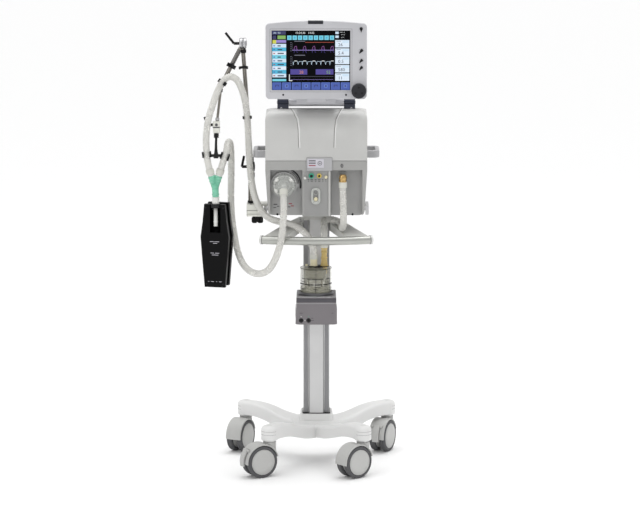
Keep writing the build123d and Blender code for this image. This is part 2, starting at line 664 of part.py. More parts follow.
def bezel_outline(inset):
    """The monitor's front outline: a gently arched top and rounded corners."""
    half = BEZEL_HALF - inset
    with BuildSketch(Plane.XZ, mode=Mode.PRIVATE) as sketch:
        with BuildLine():
            Polyline(
                (half, BEZEL_SIDE_TOP - inset), (half, BEZEL_BOTTOM + inset),
                (-half, BEZEL_BOTTOM + inset), (-half, BEZEL_SIDE_TOP - inset))
            ThreePointArc(
                (-half, BEZEL_SIDE_TOP - inset), (0, BEZEL_PEAK - inset), (half, BEZEL_SIDE_TOP - inset))
        make_face()
        fillet(vertices(), 12 - inset)
    return sketch.sketch


def bezel_slab(inset, y0, y1):
    with BuildPart() as slab:
        add(bezel_outline(inset).moved(Location((0, y0, 0))))
        extrude(amount=y1 - y0, dir=(0, 1, 0))
    return slab.part


alarm_slot = block(-25.3, 21.3, -215, -180, 1401.7, 1420)
monitor_bezel = carve(
    join(
        bezel_slab(0.0, BEZEL_FRONT, BEZEL_BACK),
        rod((KNOB[0], BEZEL_FRONT + 1, KNOB[1]), (KNOB[0], BEZEL_FRONT - 2, KNOB[1]), 25.5),
        block(-30, 29, BEZEL_FRONT + 4, BEZEL_FRONT + 18, 1163, 1176, 3)),
    bezel_slab(3.0, BEZEL_FRONT + 3, BEZEL_BACK + 1),
    block(SCREEN_X[0], SCREEN_X[1], -220, -200, SCREEN_Z[0], SCREEN_Z[1]),
    rod((KNOB[0], -220, KNOB[1]), (KNOB[0], -200, KNOB[1]), 6 + RUNNING),
    alarm_slot,
    *[rod((KEY_X, -220, z), (KEY_X, -200, z), 7.3) for z in KEYS.values()])
write("monitor_bezel", monitor_bezel)

alarm_lamp = block(-25, 21, BEZEL_FRONT - 0.6, -190, 1402, 1411.5, 1)
write("alarm_lamp", alarm_lamp)

lcd_panel = block(
    SCREEN_X[0] - 3, SCREEN_X[1] + 3, BEZEL_FRONT + 3, -199, SCREEN_Z[0] - 3, SCREEN_Z[1] + 3)
write("lcd_panel", lcd_panel)

with BuildPart() as rear_outer:
    add(bezel_outline(0.0).moved(Location((0, BEZEL_BACK, 0))))
    with BuildSketch(Plane.XZ.offset(-MONITOR_BACK)):
        with Locations((0, 1288)):
            RectangleRounded(256, 196, 16)
    loft()
with BuildPart() as rear_inner:
    add(bezel_outline(3.0).moved(Location((0, BEZEL_BACK - 1, 0))))
    with BuildSketch(Plane.XZ.offset(-MONITOR_BACK + 3.2)):
        with Locations((0, 1288)):
            RectangleRounded(250, 190, 13)
    loft()
neck = block(-60, 60, -156, TILT_Y, TILT_Z, 1222, 0)
neck = common(neck, rod((-60, -140, 1196), (60, -140, 1196), 62))
barrel_room = rod((-90, TILT_Y, TILT_Z), (90, TILT_Y, TILT_Z), BARREL_R)
monitor_rear = carve(
    join(rear_outer.part, neck), rear_inner.part, barrel_room,
    *[block(-90 + 12 * i, -84 + 12 * i, -170, -140, 1330, 1362) for i in range(16)])
write("monitor_rear_shell", monitor_rear)

barrel = carve(
    rod((-BARREL_HALF, TILT_Y, TILT_Z), (BARREL_HALF, TILT_Y, TILT_Z), BARREL_R),
    *[rod((s * 74, TILT_Y, TILT_Z), (s * 90, TILT_Y, TILT_Z), BARREL_PIN_R + RUNNING) for s in (-1, 1)])
write("hinge_barrel", barrel)

hinge_feet = []
for side in (-1, 1):
    lo, hi = sorted((side * 85.5, side * 120))
    cheek = join(
        rod((lo, TILT_Y, TILT_Z), (hi, TILT_Y, TILT_Z), 13),
        block(lo, hi, TILT_Y - 18, TILT_Y + 22, 1110, TILT_Z - 4))
    hinge_feet.append(join(
        carve(cheek, outer_body),
        rod((side * 76, TILT_Y, TILT_Z), (side * 90, TILT_Y, TILT_Z), BARREL_PIN_R)))
write("hinge_feet", *hinge_feet)

with BuildPart() as encoder_knob:
    add(rod((KNOB[0], -212.4, KNOB[1]), (KNOB[0], -232, KNOB[1]), 23))
    fillet(encoder_knob.edges().group_by(Axis.Y)[0], 3)
    add(rod((KNOB[0], -213, KNOB[1]), (KNOB[0], -201, KNOB[1]), 6))
write("encoder_knob", encoder_knob)

for name, z in KEYS.items():
    with BuildPart() as key:
        add(rod((KEY_X, -211.4, z), (KEY_X, -203.5, z), 7))
        fillet(key.edges().group_by(Axis.Y)[0], 1)
        add(rod((KEY_X, -206.7, z), (KEY_X, -203.5, z), 8.5))
    write(name, key)

# ------------------------------------------------- support arm for the hoses
ARM_Y = -60.0
CLAMP_X = (-217.0, -167.0)
POST_X = -203.0
MIDDLE = (POST_X, ARM_Y, 942.0)
TOP_JOINT = (-227.0, ARM_Y, 1327.0)
ELBOW = (-294.0, -86.0, 1200.0)
LOWER_JOINT = (-309.0, -103.0, 1072.0)

clamp_body = block(CLAMP_X[0], CLAMP_X[1], -95, -35, 790, 827, 5)
jaw_top = block(CLAMP_X[1] - 8, -154, -92, -38, 823.3, 829)
jaw_low = block(CLAMP_X[1] - 8, -154, -92, -38, 790, 797.7)
clamp = carve(
    join(clamp_body, jaw_top, jaw_low),
    block(-230, -175, -97, -33, 796.8, 798.2),
    rod((-184, -65, 780), (-184, -65, 806), 5 + RUNNING))
write("rail_clamp", clamp)

with BuildPart() as clamp_knob:
    add(rod((-184, -65, 769), (-184, -65, 789.4), 10))
    add(rod((-184, -65, 785), (-184, -65, 804), 5))
    for sign in (-1, 1):
        with BuildSketch(Plane.XZ.offset(65 - 3.5)):
            with Locations((-184 + sign * 9, 775)):
                RectangleRounded(18, 20, 6)
        extrude(amount=7)
write("clamp_knob", clamp_knob)

arm_rods = [
    rod((POST_X, ARM_Y, 827), (POST_X, ARM_Y, 926), 9.5),
    rod((POST_X, ARM_Y, 958), (TOP_JOINT[0], ARM_Y, TOP_JOINT[2] - 17), 6.5),
]
forearm_way = (Vector(*ELBOW) - Vector(*TOP_JOINT)).normalized()
arm_rods.append(rod(Vector(*TOP_JOINT) + forearm_way * 13.8, Vector(*ELBOW) - forearm_way * 9, 6.5))
thin_way = (Vector(*LOWER_JOINT) - Vector(*ELBOW)).normalized()
arm_rods.append(rod(Vector(*ELBOW) + thin_way * 9, Vector(*LOWER_JOINT) - thin_way * 18, 4.0))
middle_knuckle = rod((POST_X - 12, ARM_Y, 942), (POST_X + 11, ARM_Y, 942), 16)
top_knuckle = rod((TOP_JOINT[0] - 11, ARM_Y, TOP_JOINT[2]), (TOP_JOINT[0] + 11, ARM_Y, TOP_JOINT[2]), 17)
with BuildPart() as elbow_knuckle:
    with Locations(ELBOW):
        Sphere(10)
lower_knuckle = block(-320, -298, -114, -92, 1054, 1090, 3)
top_knuckle = carve(top_knuckle, arm_rods[1], arm_rods[2])
middle_knuckle = carve(middle_knuckle, arm_rods[0], arm_rods[1])
elbow_ball = carve(elbow_knuckle.part, arm_rods[2], arm_rods[3])
lower_knuckle = carve(lower_knuckle, arm_rods[3])
write("arm_rods", *arm_rods)


def lever(hub_x, y, z, length, lean):
    """An L-shaped locking lever, turning on a stub along X."""
    tip = (hub_x - 17 - length * math.sin(math.radians(lean)), y, z + length * math.cos(math.radians(lean)))
    return join(
        rod((hub_x - 0.4, y, z), (hub_x - 17, y, z), 4.5),
        rod((hub_x - 17, y, z), tip, 3.8),
        rod((hub_x + 9, y, z), (hub_x - 1, y, z), 3.0))


LEVERS = {
    "lever_top": (TOP_JOINT[0] - 11, ARM_Y, TOP_JOINT[2], 42, 38),
    "lever_middle": (POST_X - 12, ARM_Y, 942, 34, -12),
    "lever_lower": (-320.0, -97.0, 1078, 26, 20),
}


def lever_bore(hub_x, y, z):
    return rod((hub_x + 9.5, y, z), (hub_x - 1, y, z), 3.0 + RUNNING)


knuckles = [
    carve(top_knuckle, lever_bore(*LEVERS["lever_top"][:3])),
    carve(middle_knuckle, lever_bore(*LEVERS["lever_middle"][:3])),
    elbow_ball,
    carve(lower_knuckle, lever_bore(*LEVERS["lever_lower"][:3])),
]
write("arm_knuckles", *knuckles)
for name, spec in LEVERS.items():
    write(name, lever(*spec))

# ----------------------------------------------------------- breathing hoses
ROUTES = {
    # ventilator outlet to the chamber, folded back along the right wing
    "supply_hose": [
        (82, -188, 908), (82, -188, 870), (84, -190, 828), (84, -186, 796), (83, -175, 773),
        (81, -152, 762), (79, -124, 762), (77.5, -98, 764), (76.6, -75.6, 766), (66.6, -61.9, 770),
        (50.6, -56.7, 775), (34.6, -61.9, 777), (24.6, -75.6, 773), (24, -94, 760),
        (24.6, -110, 731), (24.6, -110, 700)],
    # chamber to the patient, up the arm and over its arch
    "inspiratory_hose": [
        (-8, -110, 664), (-8, -110, 690), (-19, -116, 723), (-46, -125, 755), (-80, -131, 773),
        (-115, -134, 780), (-148, -135, 790), (-172, -131, 814), (-188, -121, 846),
        (-198, -110, 882), (-204, -101, 925), (-208, -95, 972), (-210, -91, 1020),
        (-212, -89, 1070), (-216, -89, 1130), (-228, -92, 1186), (-248, -98, 1226),
        (-278, -106, 1230), (-302, -110, 1193), (-318, -112, 1148), (-332, -115, 1106),
        (-340, -118, 1060), (-341, -119, 1005), (-336, -120, 958), (-325, -120, 922)],
    # patient back to the exhalation valve, folded over the fork, then a low loop
    "expiratory_hose": [
        (-302, -120, 922), (-291, -120, 957), (-278, -120, 998), (-275, -106, 1017),
        (-272, -84, 1024), (-269, -62, 1017), (-266, -48, 998), (-265, -47, 956),
        (-266, -48, 892), (-267, -50, 832), (-264, -53, 776), (-256, -58, 722),
        (-246, -70, 672), (-228, -91, 634), (-200, -118, 615), (-168, -152, 618),
        (-141, -188, 642), (-121, -222, 688), (-109, -246, 733), (-103, -250, 776),
        (-100, -242, 818), (-100, -224, 855), (-100, -206, 886)],
}


def bend_radii(points):
    """For each corner: 0.45 of the shorter run over the tangent of half the turn."""
    places = [Vector(*p) for p in points]
    radii = []
    for before, here, after in zip(places, places[1:], places[2:]):
        run_in, run_out = here - before, after - here
        turn = math.radians(run_in.get_angle(run_out))
        radii.append(0.45 * min(run_in.length, run_out.length) / math.tan(turn / 2))
    return radii


def hose(name, points):
    """A plain tube along the route, straight runs joined by tangent arcs."""
    radii = bend_radii(points)
    with BuildPart() as tube:
        with BuildLine() as path:
            FilletPolyline(*points, radius=radii)
        with BuildSketch(Plane(origin=path.line @ 0, z_dir=path.line % 0)):
            Circle(HOSE_R)
        sweep()
    length = path.wire().length
    print(name, "length", round(length), "tightest", round(min(radii), 1),
          "volume / (section x length)", round(tube.part.volume / (math.pi * HOSE_R ** 2 * length), 4))
    print("   radii", [round(r) for r in radii])
    return tube.part


for name, points in ROUTES.items():
    write(name, hose(name, points))


def on_run(name, run, share):
    """The plane across a hose, part of the way along one straight run."""
    start, end = Vector(*ROUTES[name][run]), Vector(*ROUTES[name][run + 1])
    return Plane(origin=start + (end - start) * share, z_dir=end - start)


def ring_on(plane, inner, outer, length):
    with BuildPart(plane) as ring:
        Cylinder(outer, length)
        Cylinder(inner, length + 2, mode=Mode.SUBTRACT)
    return ring.part


def end_cuff(name, at_start, length, gap):
    """A soft sleeve over one end of a hose."""
    points = [Vector(*p) for p in ROUTES[name]]
    end, inward = (points[0], points[1]) if at_start else (points[-1], points[-2])
    way = (inward - end).normalized()
    plane = Plane(origin=end + way * (gap + length / 2), z_dir=way)
    return ring_on(plane, HOSE_R + 0.05, HOSE_R + 1.6, length)


hose_cuffs = [
    end_cuff("supply_hose", True, 18, -4.5), end_cuff("supply_hose", False, 16, -5),
    end_cuff("inspiratory_hose", True, 15, -5), end_cuff("inspiratory_hose", False, 14, 7),
    end_cuff("expiratory_hose", True, 14, 7), end_cuff("expiratory_hose", False, 18, -5),
]
write("hose_cuffs", *hose_cuffs)


# ----------------------------------------------------- clips on the support arm
def clip_ring(plane, toward, half_length):
    """A C-shaped clip round a hose, open toward a direction."""
    local = plane.to_local_coords(plane.origin + toward)
    angle = math.degrees(math.atan2(local.Y, local.X))
    with BuildPart(plane) as ring:
        Cylinder(14.6, 2 * half_length)
        Cylinder(HOSE_R + 0.6, 2 * half_length + 2, mode=Mode.SUBTRACT)
        with Locations(Location((0, 0, 0), (0, 0, angle))):
            with Locations((14, 0, 0)):
                Box(16, 19, 2 * half_length + 2, mode=Mode.SUBTRACT)
    return ring.part


OPEN_FRONT = Vector(0, -1, 0)
left_plane = on_run("inspiratory_hose", 22, 0.36)
right_plane = on_run("expiratory_hose", 1, 0.62)
fork_z = (left_plane.origin.Z + right_plane.origin.Z) / 2
hose_fork = join(
    clip_ring(left_plane, OPEN_FRONT, 9), clip_ring(right_plane, OPEN_FRONT, 10),
    block(-328, -296, -124, -116, fork_z - 4, fork_z + 4),
    rod((-311, -120, fork_z), (-309, -112, 1054), 3.6),
    rod((-309.5, -114, 1042), (-309, -112, 1054), 7))
hose_fork = carve(hose_fork, block(-326, -292, -119, -91, 1054, 1092))
write("hose_fork", hose_fork)

over_plane = on_run("inspiratory_hose", 17, 0.5)
mid_plane = on_run("inspiratory_hose", 13, 0.5)
empty_one = Plane(origin=(-262, -106, 1262), z_dir=(0.45, 0.1, 0.9))
over_clip = join(
    clip_ring(over_plane, Vector(-0.4, -1, 0.2), 6),
    rod(over_plane.origin + Vector(0, 12, 0), Vector(-288, -84, 1212), 4))
mid_clip = join(
    clip_ring(mid_plane, OPEN_FRONT, 4),
    rod(mid_plane.origin + Vector(0, 12.5, 0), mid_plane.origin + Vector(0, 26, 0), 4))
spare_clip = join(
    clip_ring(empty_one, Vector(-0.6, -1, 0.3), 6),
    rod(empty_one.origin + Vector(0, 12.5, 0), Vector(-259, -73, 1266), 4))
upper_plane = Plane(origin=(-225, -92, 1255), z_dir=(-0.05, 0, 1))
upper_clip = join(
    clip_ring(upper_plane, OPEN_FRONT, 4),
    rod(upper_plane.origin + Vector(0, 12.5, 0), upper_plane.origin + Vector(0, 30, 0), 4))
hose_clips = [
    carve(clip, arm_rods[1], arm_rods[2], *knuckles)
    for clip in (over_clip, mid_clip, spare_clip, upper_clip)]
write("hose_clips", *hose_clips)

# ------------------------------------------------------------------- y-piece
Y_JOIN = Vector(-313.5, -120, 890)
left_end, right_end = Vector(*ROUTES["inspiratory_hose"][-1]), Vector(*ROUTES["expiratory_hose"][0])
left_way = (Vector(*ROUTES["inspiratory_hose"][-2]) - left_end).normalized()
right_way = (Vector(*ROUTES["expiratory_hose"][1]) - right_end).normalized()
with BuildPart() as y_heart:
    with Locations(Y_JOIN):
        Sphere(12.9)
y_body = join(
    y_heart.part,
    rod(left_end, left_end - left_way * 34, HOSE_R),
    rod(right_end, right_end - right_way * 34, HOSE_R - 0.15),
    rod(Y_JOIN, (-312, -120, 856), 10.3))
connector = rod((-312, -120, 856), (-312, -120, 834), 11)
collar = rod((-312, -120, 834), (-312, -120, 822), 15.5)
write("y_piece", y_body, connector, collar)

# ----------------------------------------------------------------- test lung
lung_place = Location((LUNG_X, LUNG_Y, 0), (0, 0, LUNG_TURN))


def lung_slab(inset, y0, y1):
    """The lung's waisted outline, as a slab standing across Y."""
    with BuildPart() as slab:
        with BuildSketch(Plane.XZ.offset(-y0)):
            with BuildLine():
                right = [(half - inset, z) for z, half in LUNG_OUTLINE]
                left = [(-x, z) for x, z in reversed(right)]
                right[0] = (right[0][0], right[0][1] + inset)
                left[-1] = (left[-1][0], left[-1][1] + inset)
                right[-1] = (right[-1][0], right[-1][1] - inset)
                left[0] = (left[0][0], left[0][1] - inset)
                Polyline(*right, *left, close=True)
            make_face()
        extrude(amount=-(y1 - y0))
    return slab.part


NECK_X = 2.2
lung_slot = block(NECK_X - 17, NECK_X + 17, -40, 0, 744, 840)
front_plate = carve(lung_slab(0.0, -29, -14), lung_slot, lung_slab(4.0, -24, -13))
front_plate = join(front_plate, common(
    block(-60, 60, -29, -14, 560, 584), lung_slab(0.0, -29, -14)))
# the plate turns on a round fold of the bellows that lies in a groove along its lower edge
front_plate = carve(front_plate, rod((-45, -14, FOLD_Z), (45, -14, FOLD_Z), FOLD_R + 0.3))
write("lung_front_plate", front_plate.moved(lung_place))
rear_plate = lung_slab(0.0, 14, 29)
with BuildPart() as rear_tray:
    add(rear_plate)
    add(lung_slab(4.0, 10, 25), mode=Mode.SUBTRACT)
write("lung_rear_plate", rear_tray.part.moved(lung_place))
neck_tube = rod((-312, -120, 822), (-312, -120, 764), 6.5)
bellows_core = carve(
    join(lung_slab(5.0, -13.6, 25), lung_slab(12.0, -13.6, 13.5),
         rod((-27, -14, FOLD_Z), (27, -14, FOLD_Z), FOLD_R)),
    lung_place.inverse() * neck_tube, block(NECK_X - 17, NECK_X + 17, -40, -5, 744, 840))
write("lung_bellows", bellows_core.moved(lung_place), neck_tube)
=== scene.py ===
"""Looks of the intensive-care ventilator: hoses, detailed pieces, materials, light and camera.

Lengths are written in millimetres and turned to metres where a mesh is made.
"""
import json
from math import atan2, cos, degrees, pi, radians, sin

import bmesh
import bpy
from mathutils import Matrix, Vector
from mathutils.bvhtree import BVHTree


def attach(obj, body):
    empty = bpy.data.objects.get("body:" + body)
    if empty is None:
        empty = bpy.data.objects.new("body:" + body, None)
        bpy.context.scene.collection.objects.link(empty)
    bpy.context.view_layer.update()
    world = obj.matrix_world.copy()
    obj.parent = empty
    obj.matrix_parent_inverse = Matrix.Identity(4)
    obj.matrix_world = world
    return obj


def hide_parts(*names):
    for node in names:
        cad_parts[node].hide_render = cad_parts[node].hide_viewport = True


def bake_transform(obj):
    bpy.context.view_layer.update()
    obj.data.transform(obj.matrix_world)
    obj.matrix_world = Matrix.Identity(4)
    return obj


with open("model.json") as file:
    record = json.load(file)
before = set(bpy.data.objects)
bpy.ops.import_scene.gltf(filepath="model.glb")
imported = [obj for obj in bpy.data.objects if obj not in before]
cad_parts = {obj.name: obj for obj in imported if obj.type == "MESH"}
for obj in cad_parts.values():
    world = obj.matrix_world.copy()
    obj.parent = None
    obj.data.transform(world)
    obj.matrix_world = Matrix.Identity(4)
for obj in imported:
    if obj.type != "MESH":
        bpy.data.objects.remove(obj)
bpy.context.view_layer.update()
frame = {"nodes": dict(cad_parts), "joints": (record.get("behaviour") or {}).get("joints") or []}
nodes = frame["nodes"]
MM = 0.001
UP, FRONT, BACK, RIGHT = (0, 0, 1), (0, -1, 0), (0, 1, 0), (1, 0, 0)

# -------------------------------------------------------------------- camera
camera_data = bpy.data.cameras.new("camera")
camera_data.lens = 178.57
camera_data.sensor_width = 36.0
camera_data.clip_end = 100.0
camera = bpy.data.objects.new("camera", camera_data)
camera.location = (0.0115, -9.854, 2.351)
camera.rotation_euler = (radians(80.2), 0.0, 0.0)
bpy.context.collection.objects.link(camera)
bpy.context.scene.camera = camera


# ----------------------------------------------------------------- materials
def srgb(r, g, b):
    """A colour given as 0-255 display values, as Blender's linear colour."""
    def line(c):
        c /= 255.0
        return c / 12.92 if c <= 0.04045 else ((c + 0.055) / 1.055) ** 2.4
    return (line(r), line(g), line(b), 1.0)


def shade(colour, factor):
    return tuple(min(1.0, c * factor) for c in colour[:3]) + (1.0,)


def new_material(name):
    material = bpy.data.materials.new(name)
    material.use_nodes = True
    tree = material.node_tree
    return material, tree, tree.nodes["Principled BSDF"]


def noise(tree, place, scale, detail=2.0):
    """Cloudy noise over the coordinates that place gives."""
    node = tree.nodes.new("ShaderNodeTexNoise")
    node.inputs["Scale"].default_value = scale
    node.inputs["Detail"].default_value = detail
    tree.links.new(place, node.inputs["Vector"])
    return node.outputs["Fac"]


def two_tone(tree, fac, low, high):
    ramp = tree.nodes.new("ShaderNodeValToRGB")
    first, second = ramp.color_ramp.elements
    first.color, second.color = low, high
    tree.links.new(fac, ramp.inputs["Fac"])
    return ramp


def surface(name, colour, rough, metallic=0.0, grain=900.0, depth=0.15, drift=0.05, speckle=0.0,
            brushed=None, gloss=0.5):
    """A moulded, painted or metal surface: fine grain, slow colour drift, uneven roughness."""
    material, tree, bsdf = new_material(name)
    link = tree.links.new
    place = tree.nodes.new("ShaderNodeTexCoord").outputs["Object"]
    bsdf.inputs["Metallic"].default_value = metallic
    bsdf.inputs["Specular IOR Level"].default_value = gloss
    # slow drift of the colour, as of moulded and handled parts
    ramp = two_tone(tree, noise(tree, place, 9.0, 3.0), shade(colour, 1.0 - drift), shade(colour, 1.0 + drift))
    ramp.color_ramp.elements[0].position, ramp.color_ramp.elements[1].position = 0.3, 0.7
    tint = ramp.outputs["Color"]
    if speckle:
        mix = tree.nodes.new("ShaderNodeMix")
        mix.data_type, mix.blend_type = "RGBA", "MULTIPLY"
        mix.inputs["Factor"].default_value = speckle
        link(tint, mix.inputs["A"])
        link(noise(tree, place, 1400.0), mix.inputs["B"])
        tint = mix.outputs["Result"]
    link(tint, bsdf.inputs["Base Color"])
    # roughness moves with a finer smudge pattern
    span = tree.nodes.new("ShaderNodeMapRange")
    span.inputs["To Min"].default_value = max(0.02, rough - 0.07)
    span.inputs["To Max"].default_value = min(1.0, rough + 0.07)
    link(noise(tree, place, 38.0, 5.0), span.inputs["Value"])
    link(span.outputs["Result"], bsdf.inputs["Roughness"])
    # grain, stretched along one axis where the metal is brushed or drawn
    if brushed:
        stretch = tree.nodes.new("ShaderNodeMapping")
        stretch.inputs["Scale"].default_value = brushed
        link(place, stretch.inputs["Vector"])
        place = stretch.outputs["Vector"]
    bump = tree.nodes.new("ShaderNodeBump")
    bump.inputs["Strength"].default_value = depth
    bump.inputs["Distance"].default_value = 0.0004
    link(noise(tree, place, grain), bump.inputs["Height"])
    link(bump.outputs["Normal"], bsdf.inputs["Normal"])
    return material


def clear(name, colour, rough, transmission, grain=60.0, depth=0.05, alpha=1.0):
    """Clear or milky moulded plastic with faint flow waves; alpha lets thin walls show what is behind."""
    material = surface(name, colour, rough, grain=grain, depth=depth, drift=0.03)
    bsdf = material.node_tree.nodes["Principled BSDF"]
    bsdf.inputs["Transmission Weight"].default_value = transmission
    bsdf.inputs["IOR"].default_value = 1.45
    bsdf.inputs["Alpha"].default_value = alpha
    return material


def lit(name, colour):
    """A lit patch of the screen, with the faint grid of its cells."""
    material, tree, bsdf = new_material(name)
    cells = tree.nodes.new("ShaderNodeTexVoronoi")
    cells.inputs["Scale"].default_value = 620.0
    tree.links.new(tree.nodes.new("ShaderNodeTexCoord").outputs["Object"], cells.inputs["Vector"])
    ramp = two_tone(tree, cells.outputs["Distance"], shade(colour, 1.04), shade(colour, 0.88))
    tree.links.new(ramp.outputs["Color"], bsdf.inputs["Emission Color"])
    bsdf.inputs["Base Color"].default_value = (0.01, 0.01, 0.012, 1.0)
    bsdf.inputs["Emission Strength"].default_value = 1.0
    bsdf.inputs["Roughness"].default_value = 0.3
    return material


# name: (display colour, roughness, what differs from the usual surface)
ALONG_Z, ALONG_POST, ALONG_Y = (30.0, 30.0, 0.6), (40.0, 40.0, 1.0), (40.0, 1.0, 40.0)
SOLID = {
    "cover": ((190, 190, 188), 0.36, dict(depth=0.10)),
    "panel": ((160, 160, 158), 0.42, dict(depth=0.12)),
    # bay: the liners' colour, darker than the panel as painted shade of the bay recesses, its stronger drift
    # standing in for their uneven shade; the exhalation lock ring shares it
    "bay": ((160, 160, 159), 0.50, dict(depth=0.15, drift=0.10)),
    "side": ((190, 190, 188), 0.45, dict(depth=0.22, grain=700.0)),
    "bezel": ((186, 186, 190), 0.38, dict(depth=0.14)),
    "centre": ((150, 150, 149), 0.42, dict(depth=0.12)),
    # the darker line laid in the cover's grooves: painted shade
    "groove_shade": ((140, 139, 135), 0.60, dict(depth=0.10)),
    "rod": ((132, 128, 122), 0.26, dict(metallic=0.9, grain=90.0, depth=0.10)),
    "label": ((170, 170, 172), 0.35, dict(depth=0.08)),
    "label_plate": ((198, 196, 204), 0.30, dict(depth=0.04)),
    "ink": ((52, 50, 56), 0.45, dict(depth=0.03)),
    "ink_red": ((150, 62, 72), 0.45, dict(depth=0.03)),
    # the base's white paint; the beads beside the cover's grooves also carry it as a painted highlight
    "white_paint": ((222, 222, 221), 0.36, dict(grain=520.0, depth=0.20, drift=0.02)),
    "bracket_paint": ((196, 196, 192), 0.42, dict(grain=520.0, depth=0.22)),
    "column": ((204, 204, 204), 0.34, dict(metallic=0.35, grain=60.0, depth=0.12, brushed=ALONG_Z)),
    # channel: the strips in the column's slots, darker as painted shade of the slots; the fine lines round the
    # pods share it
    "channel": ((140, 140, 142), 0.45, dict(metallic=0.3, grain=60.0, depth=0.12, brushed=ALONG_Z)),
    "bar": ((176, 177, 172), 0.30, dict(metallic=0.75, grain=640.0, depth=0.16)),
    "cap": ((214, 214, 212), 0.45, {}),
    "castor": ((178, 178, 176), 0.42, dict(depth=0.16)),
    "disc": ((186, 186, 184), 0.38, dict(depth=0.12)),
    "tyre": ((84, 84, 86), 0.62, dict(grain=1200.0, depth=0.35, gloss=0.3)),
    "steel": ((186, 186, 188), 0.24, dict(metallic=0.95, grain=90.0, depth=0.10, brushed=ALONG_POST)),
    "dark_steel": ((96, 96, 98), 0.32, dict(metallic=0.85, grain=90.0, depth=0.12, brushed=ALONG_POST)),
    "brass": ((190, 158, 104), 0.28, dict(metallic=0.9, grain=300.0, depth=0.10)),
    "black": ((24, 24, 26), 0.48, dict(depth=0.28, gloss=0.25)),
    "soft_black": ((20, 20, 21), 0.66, dict(grain=1300.0, depth=0.40, gloss=0.25)),
    "navy": ((44, 48, 62), 0.36, dict(depth=0.18, gloss=0.35)),
    "knob": ((36, 37, 41), 0.50, dict(grain=1000.0, depth=0.30, gloss=0.3)),
    "housing": ((124, 120, 123), 0.44, dict(grain=760.0, depth=0.30, speckle=0.12, gloss=0.35)),
    "housing_band": ((80, 78, 83), 0.40, dict(grain=760.0, depth=0.25, gloss=0.35)),
    "heater": ((90, 90, 92), 0.30, dict(metallic=0.8, grain=80.0, depth=0.12)),
    "dish": ((184, 186, 186), 0.22, dict(metallic=0.9, grain=80.0, depth=0.10)),
    "lung": ((6, 6, 7), 0.40, dict(grain=850.0, depth=0.30, gloss=0.12)),
    "lung_skin": ((5, 5, 6), 0.55, dict(grain=1100.0, depth=0.45, gloss=0.12)),
    "clamp": ((230, 230, 222), 0.36, dict(grain=420.0, depth=0.18)),
    "rail": ((196, 196, 197), 0.30, dict(metallic=0.8, grain=90.0, depth=0.12, brushed=ALONG_Y)),
    "cuff": ((204, 204, 196), 0.55, dict(grain=500.0, depth=0.20)),
    "green_port": ((52, 158, 128), 0.34, dict(depth=0.10)),
    "yellow_port": ((206, 182, 84), 0.34, dict(depth=0.10)),
    "white_port": ((226, 226, 222), 0.34, dict(depth=0.10)),
    "cream_port": ((222, 214, 180), 0.36, dict(depth=0.10)),
    "screen": ((3, 3, 6), 0.30, dict(depth=0.02, gloss=0.06)),
    "lamp": ((34, 35, 42), 0.20, dict(depth=0.04, gloss=0.3)),
    "chamber_dark": ((92, 90, 78), 0.40, dict(depth=0.10, gloss=0.3)),
    "module": ((120, 124, 130), 0.45, dict(metallic=0.4)),
}
GLASS = {
    "hose": ((234, 233, 228), 0.26, dict(transmission=0.30, grain=260.0, depth=0.10)),
    "clear": ((222, 220, 202), 0.05, dict(transmission=0.0, alpha=0.15)),
    "milky": ((214, 216, 212), 0.28, dict(transmission=0.35)),
    "green_clear": ((134, 214, 182), 0.22, dict(transmission=0.15, alpha=0.86)),
    "amber": ((214, 188, 116), 0.20, dict(transmission=0.10, alpha=0.72)),
    "water": ((196, 194, 176), 0.04, dict(transmission=0.0, alpha=0.30)),
}
M = {name: surface(name, srgb(*colour), rough, **more) for name, (colour, rough, more) in SOLID.items()}
M.update({name: clear(name, srgb(*colour), rough, **more) for name, (colour, rough, more) in GLASS.items()})

# material: the CAD nodes that carry it
CARRIED = {
    "cover": "front_cover", "panel": "lower_panel inspiratory_port", "side": "rear_shell",
    "label": "label_block side_handles", "bezel": "monitor_bezel monitor_rear_shell hinge_barrel",
    "screen": "lcd_panel", "lamp": "alarm_lamp", "navy": "hinge_feet", "white_paint": "base_casting",
    "bracket_paint": "handle_bracket", "bar": "handle_bar", "housing": "humidifier_housing",
    "black": "humidifier_button_left humidifier_button_right hose_fork hose_clips", "heater": "heater_plate",
    "dish": "chamber_fittings", "rail": "side_rails", "clamp": "rail_clamp",
    "soft_black": "clamp_knob lever_top lever_middle lever_lower", "rod": "arm_rods", "cuff": "hose_cuffs",
    "bay": "exhalation_lock_ring", "lung": "lung_front_plate lung_rear_plate", "module": "internal_modules",
    "column": "column", "knob": "encoder_knob",
    "castor": "castor_hood_fl castor_hood_fr castor_hood_rl castor_hood_rr brake_pedal_fl brake_pedal_rr",
}
# width of the softened edges, 0.5 mm where none is given
EDGES = {
    "front_cover": 1.2, "lower_panel": 1.0, "rear_shell": 2.0, "monitor_bezel": 1.2,
    "monitor_rear_shell": 2.0, "base_casting": 1.2, "handle_bracket": 1.5, "side_handles": 1.0,
    "rail_clamp": 1.2, "humidifier_housing": 0.8, "lung_front_plate": 1.2, "lung_rear_plate": 1.2,
    "hinge_feet": 1.8,
}
for node, key in [(node, key) for key, group in CARRIED.items() for node in group.split()]:
    obj = nodes[node]
    obj.data.materials.clear()
    obj.data.materials.append(M[key])
    if node != "lcd_panel":
        soften = obj.modifiers.new("edges", "BEVEL")
        soften.width = EDGES.get(node, 0.5) * MM
        soften.segments = 2
        soften.limit_method = "ANGLE"
        soften.angle_limit = radians(35)
        soften.harden_normals = True


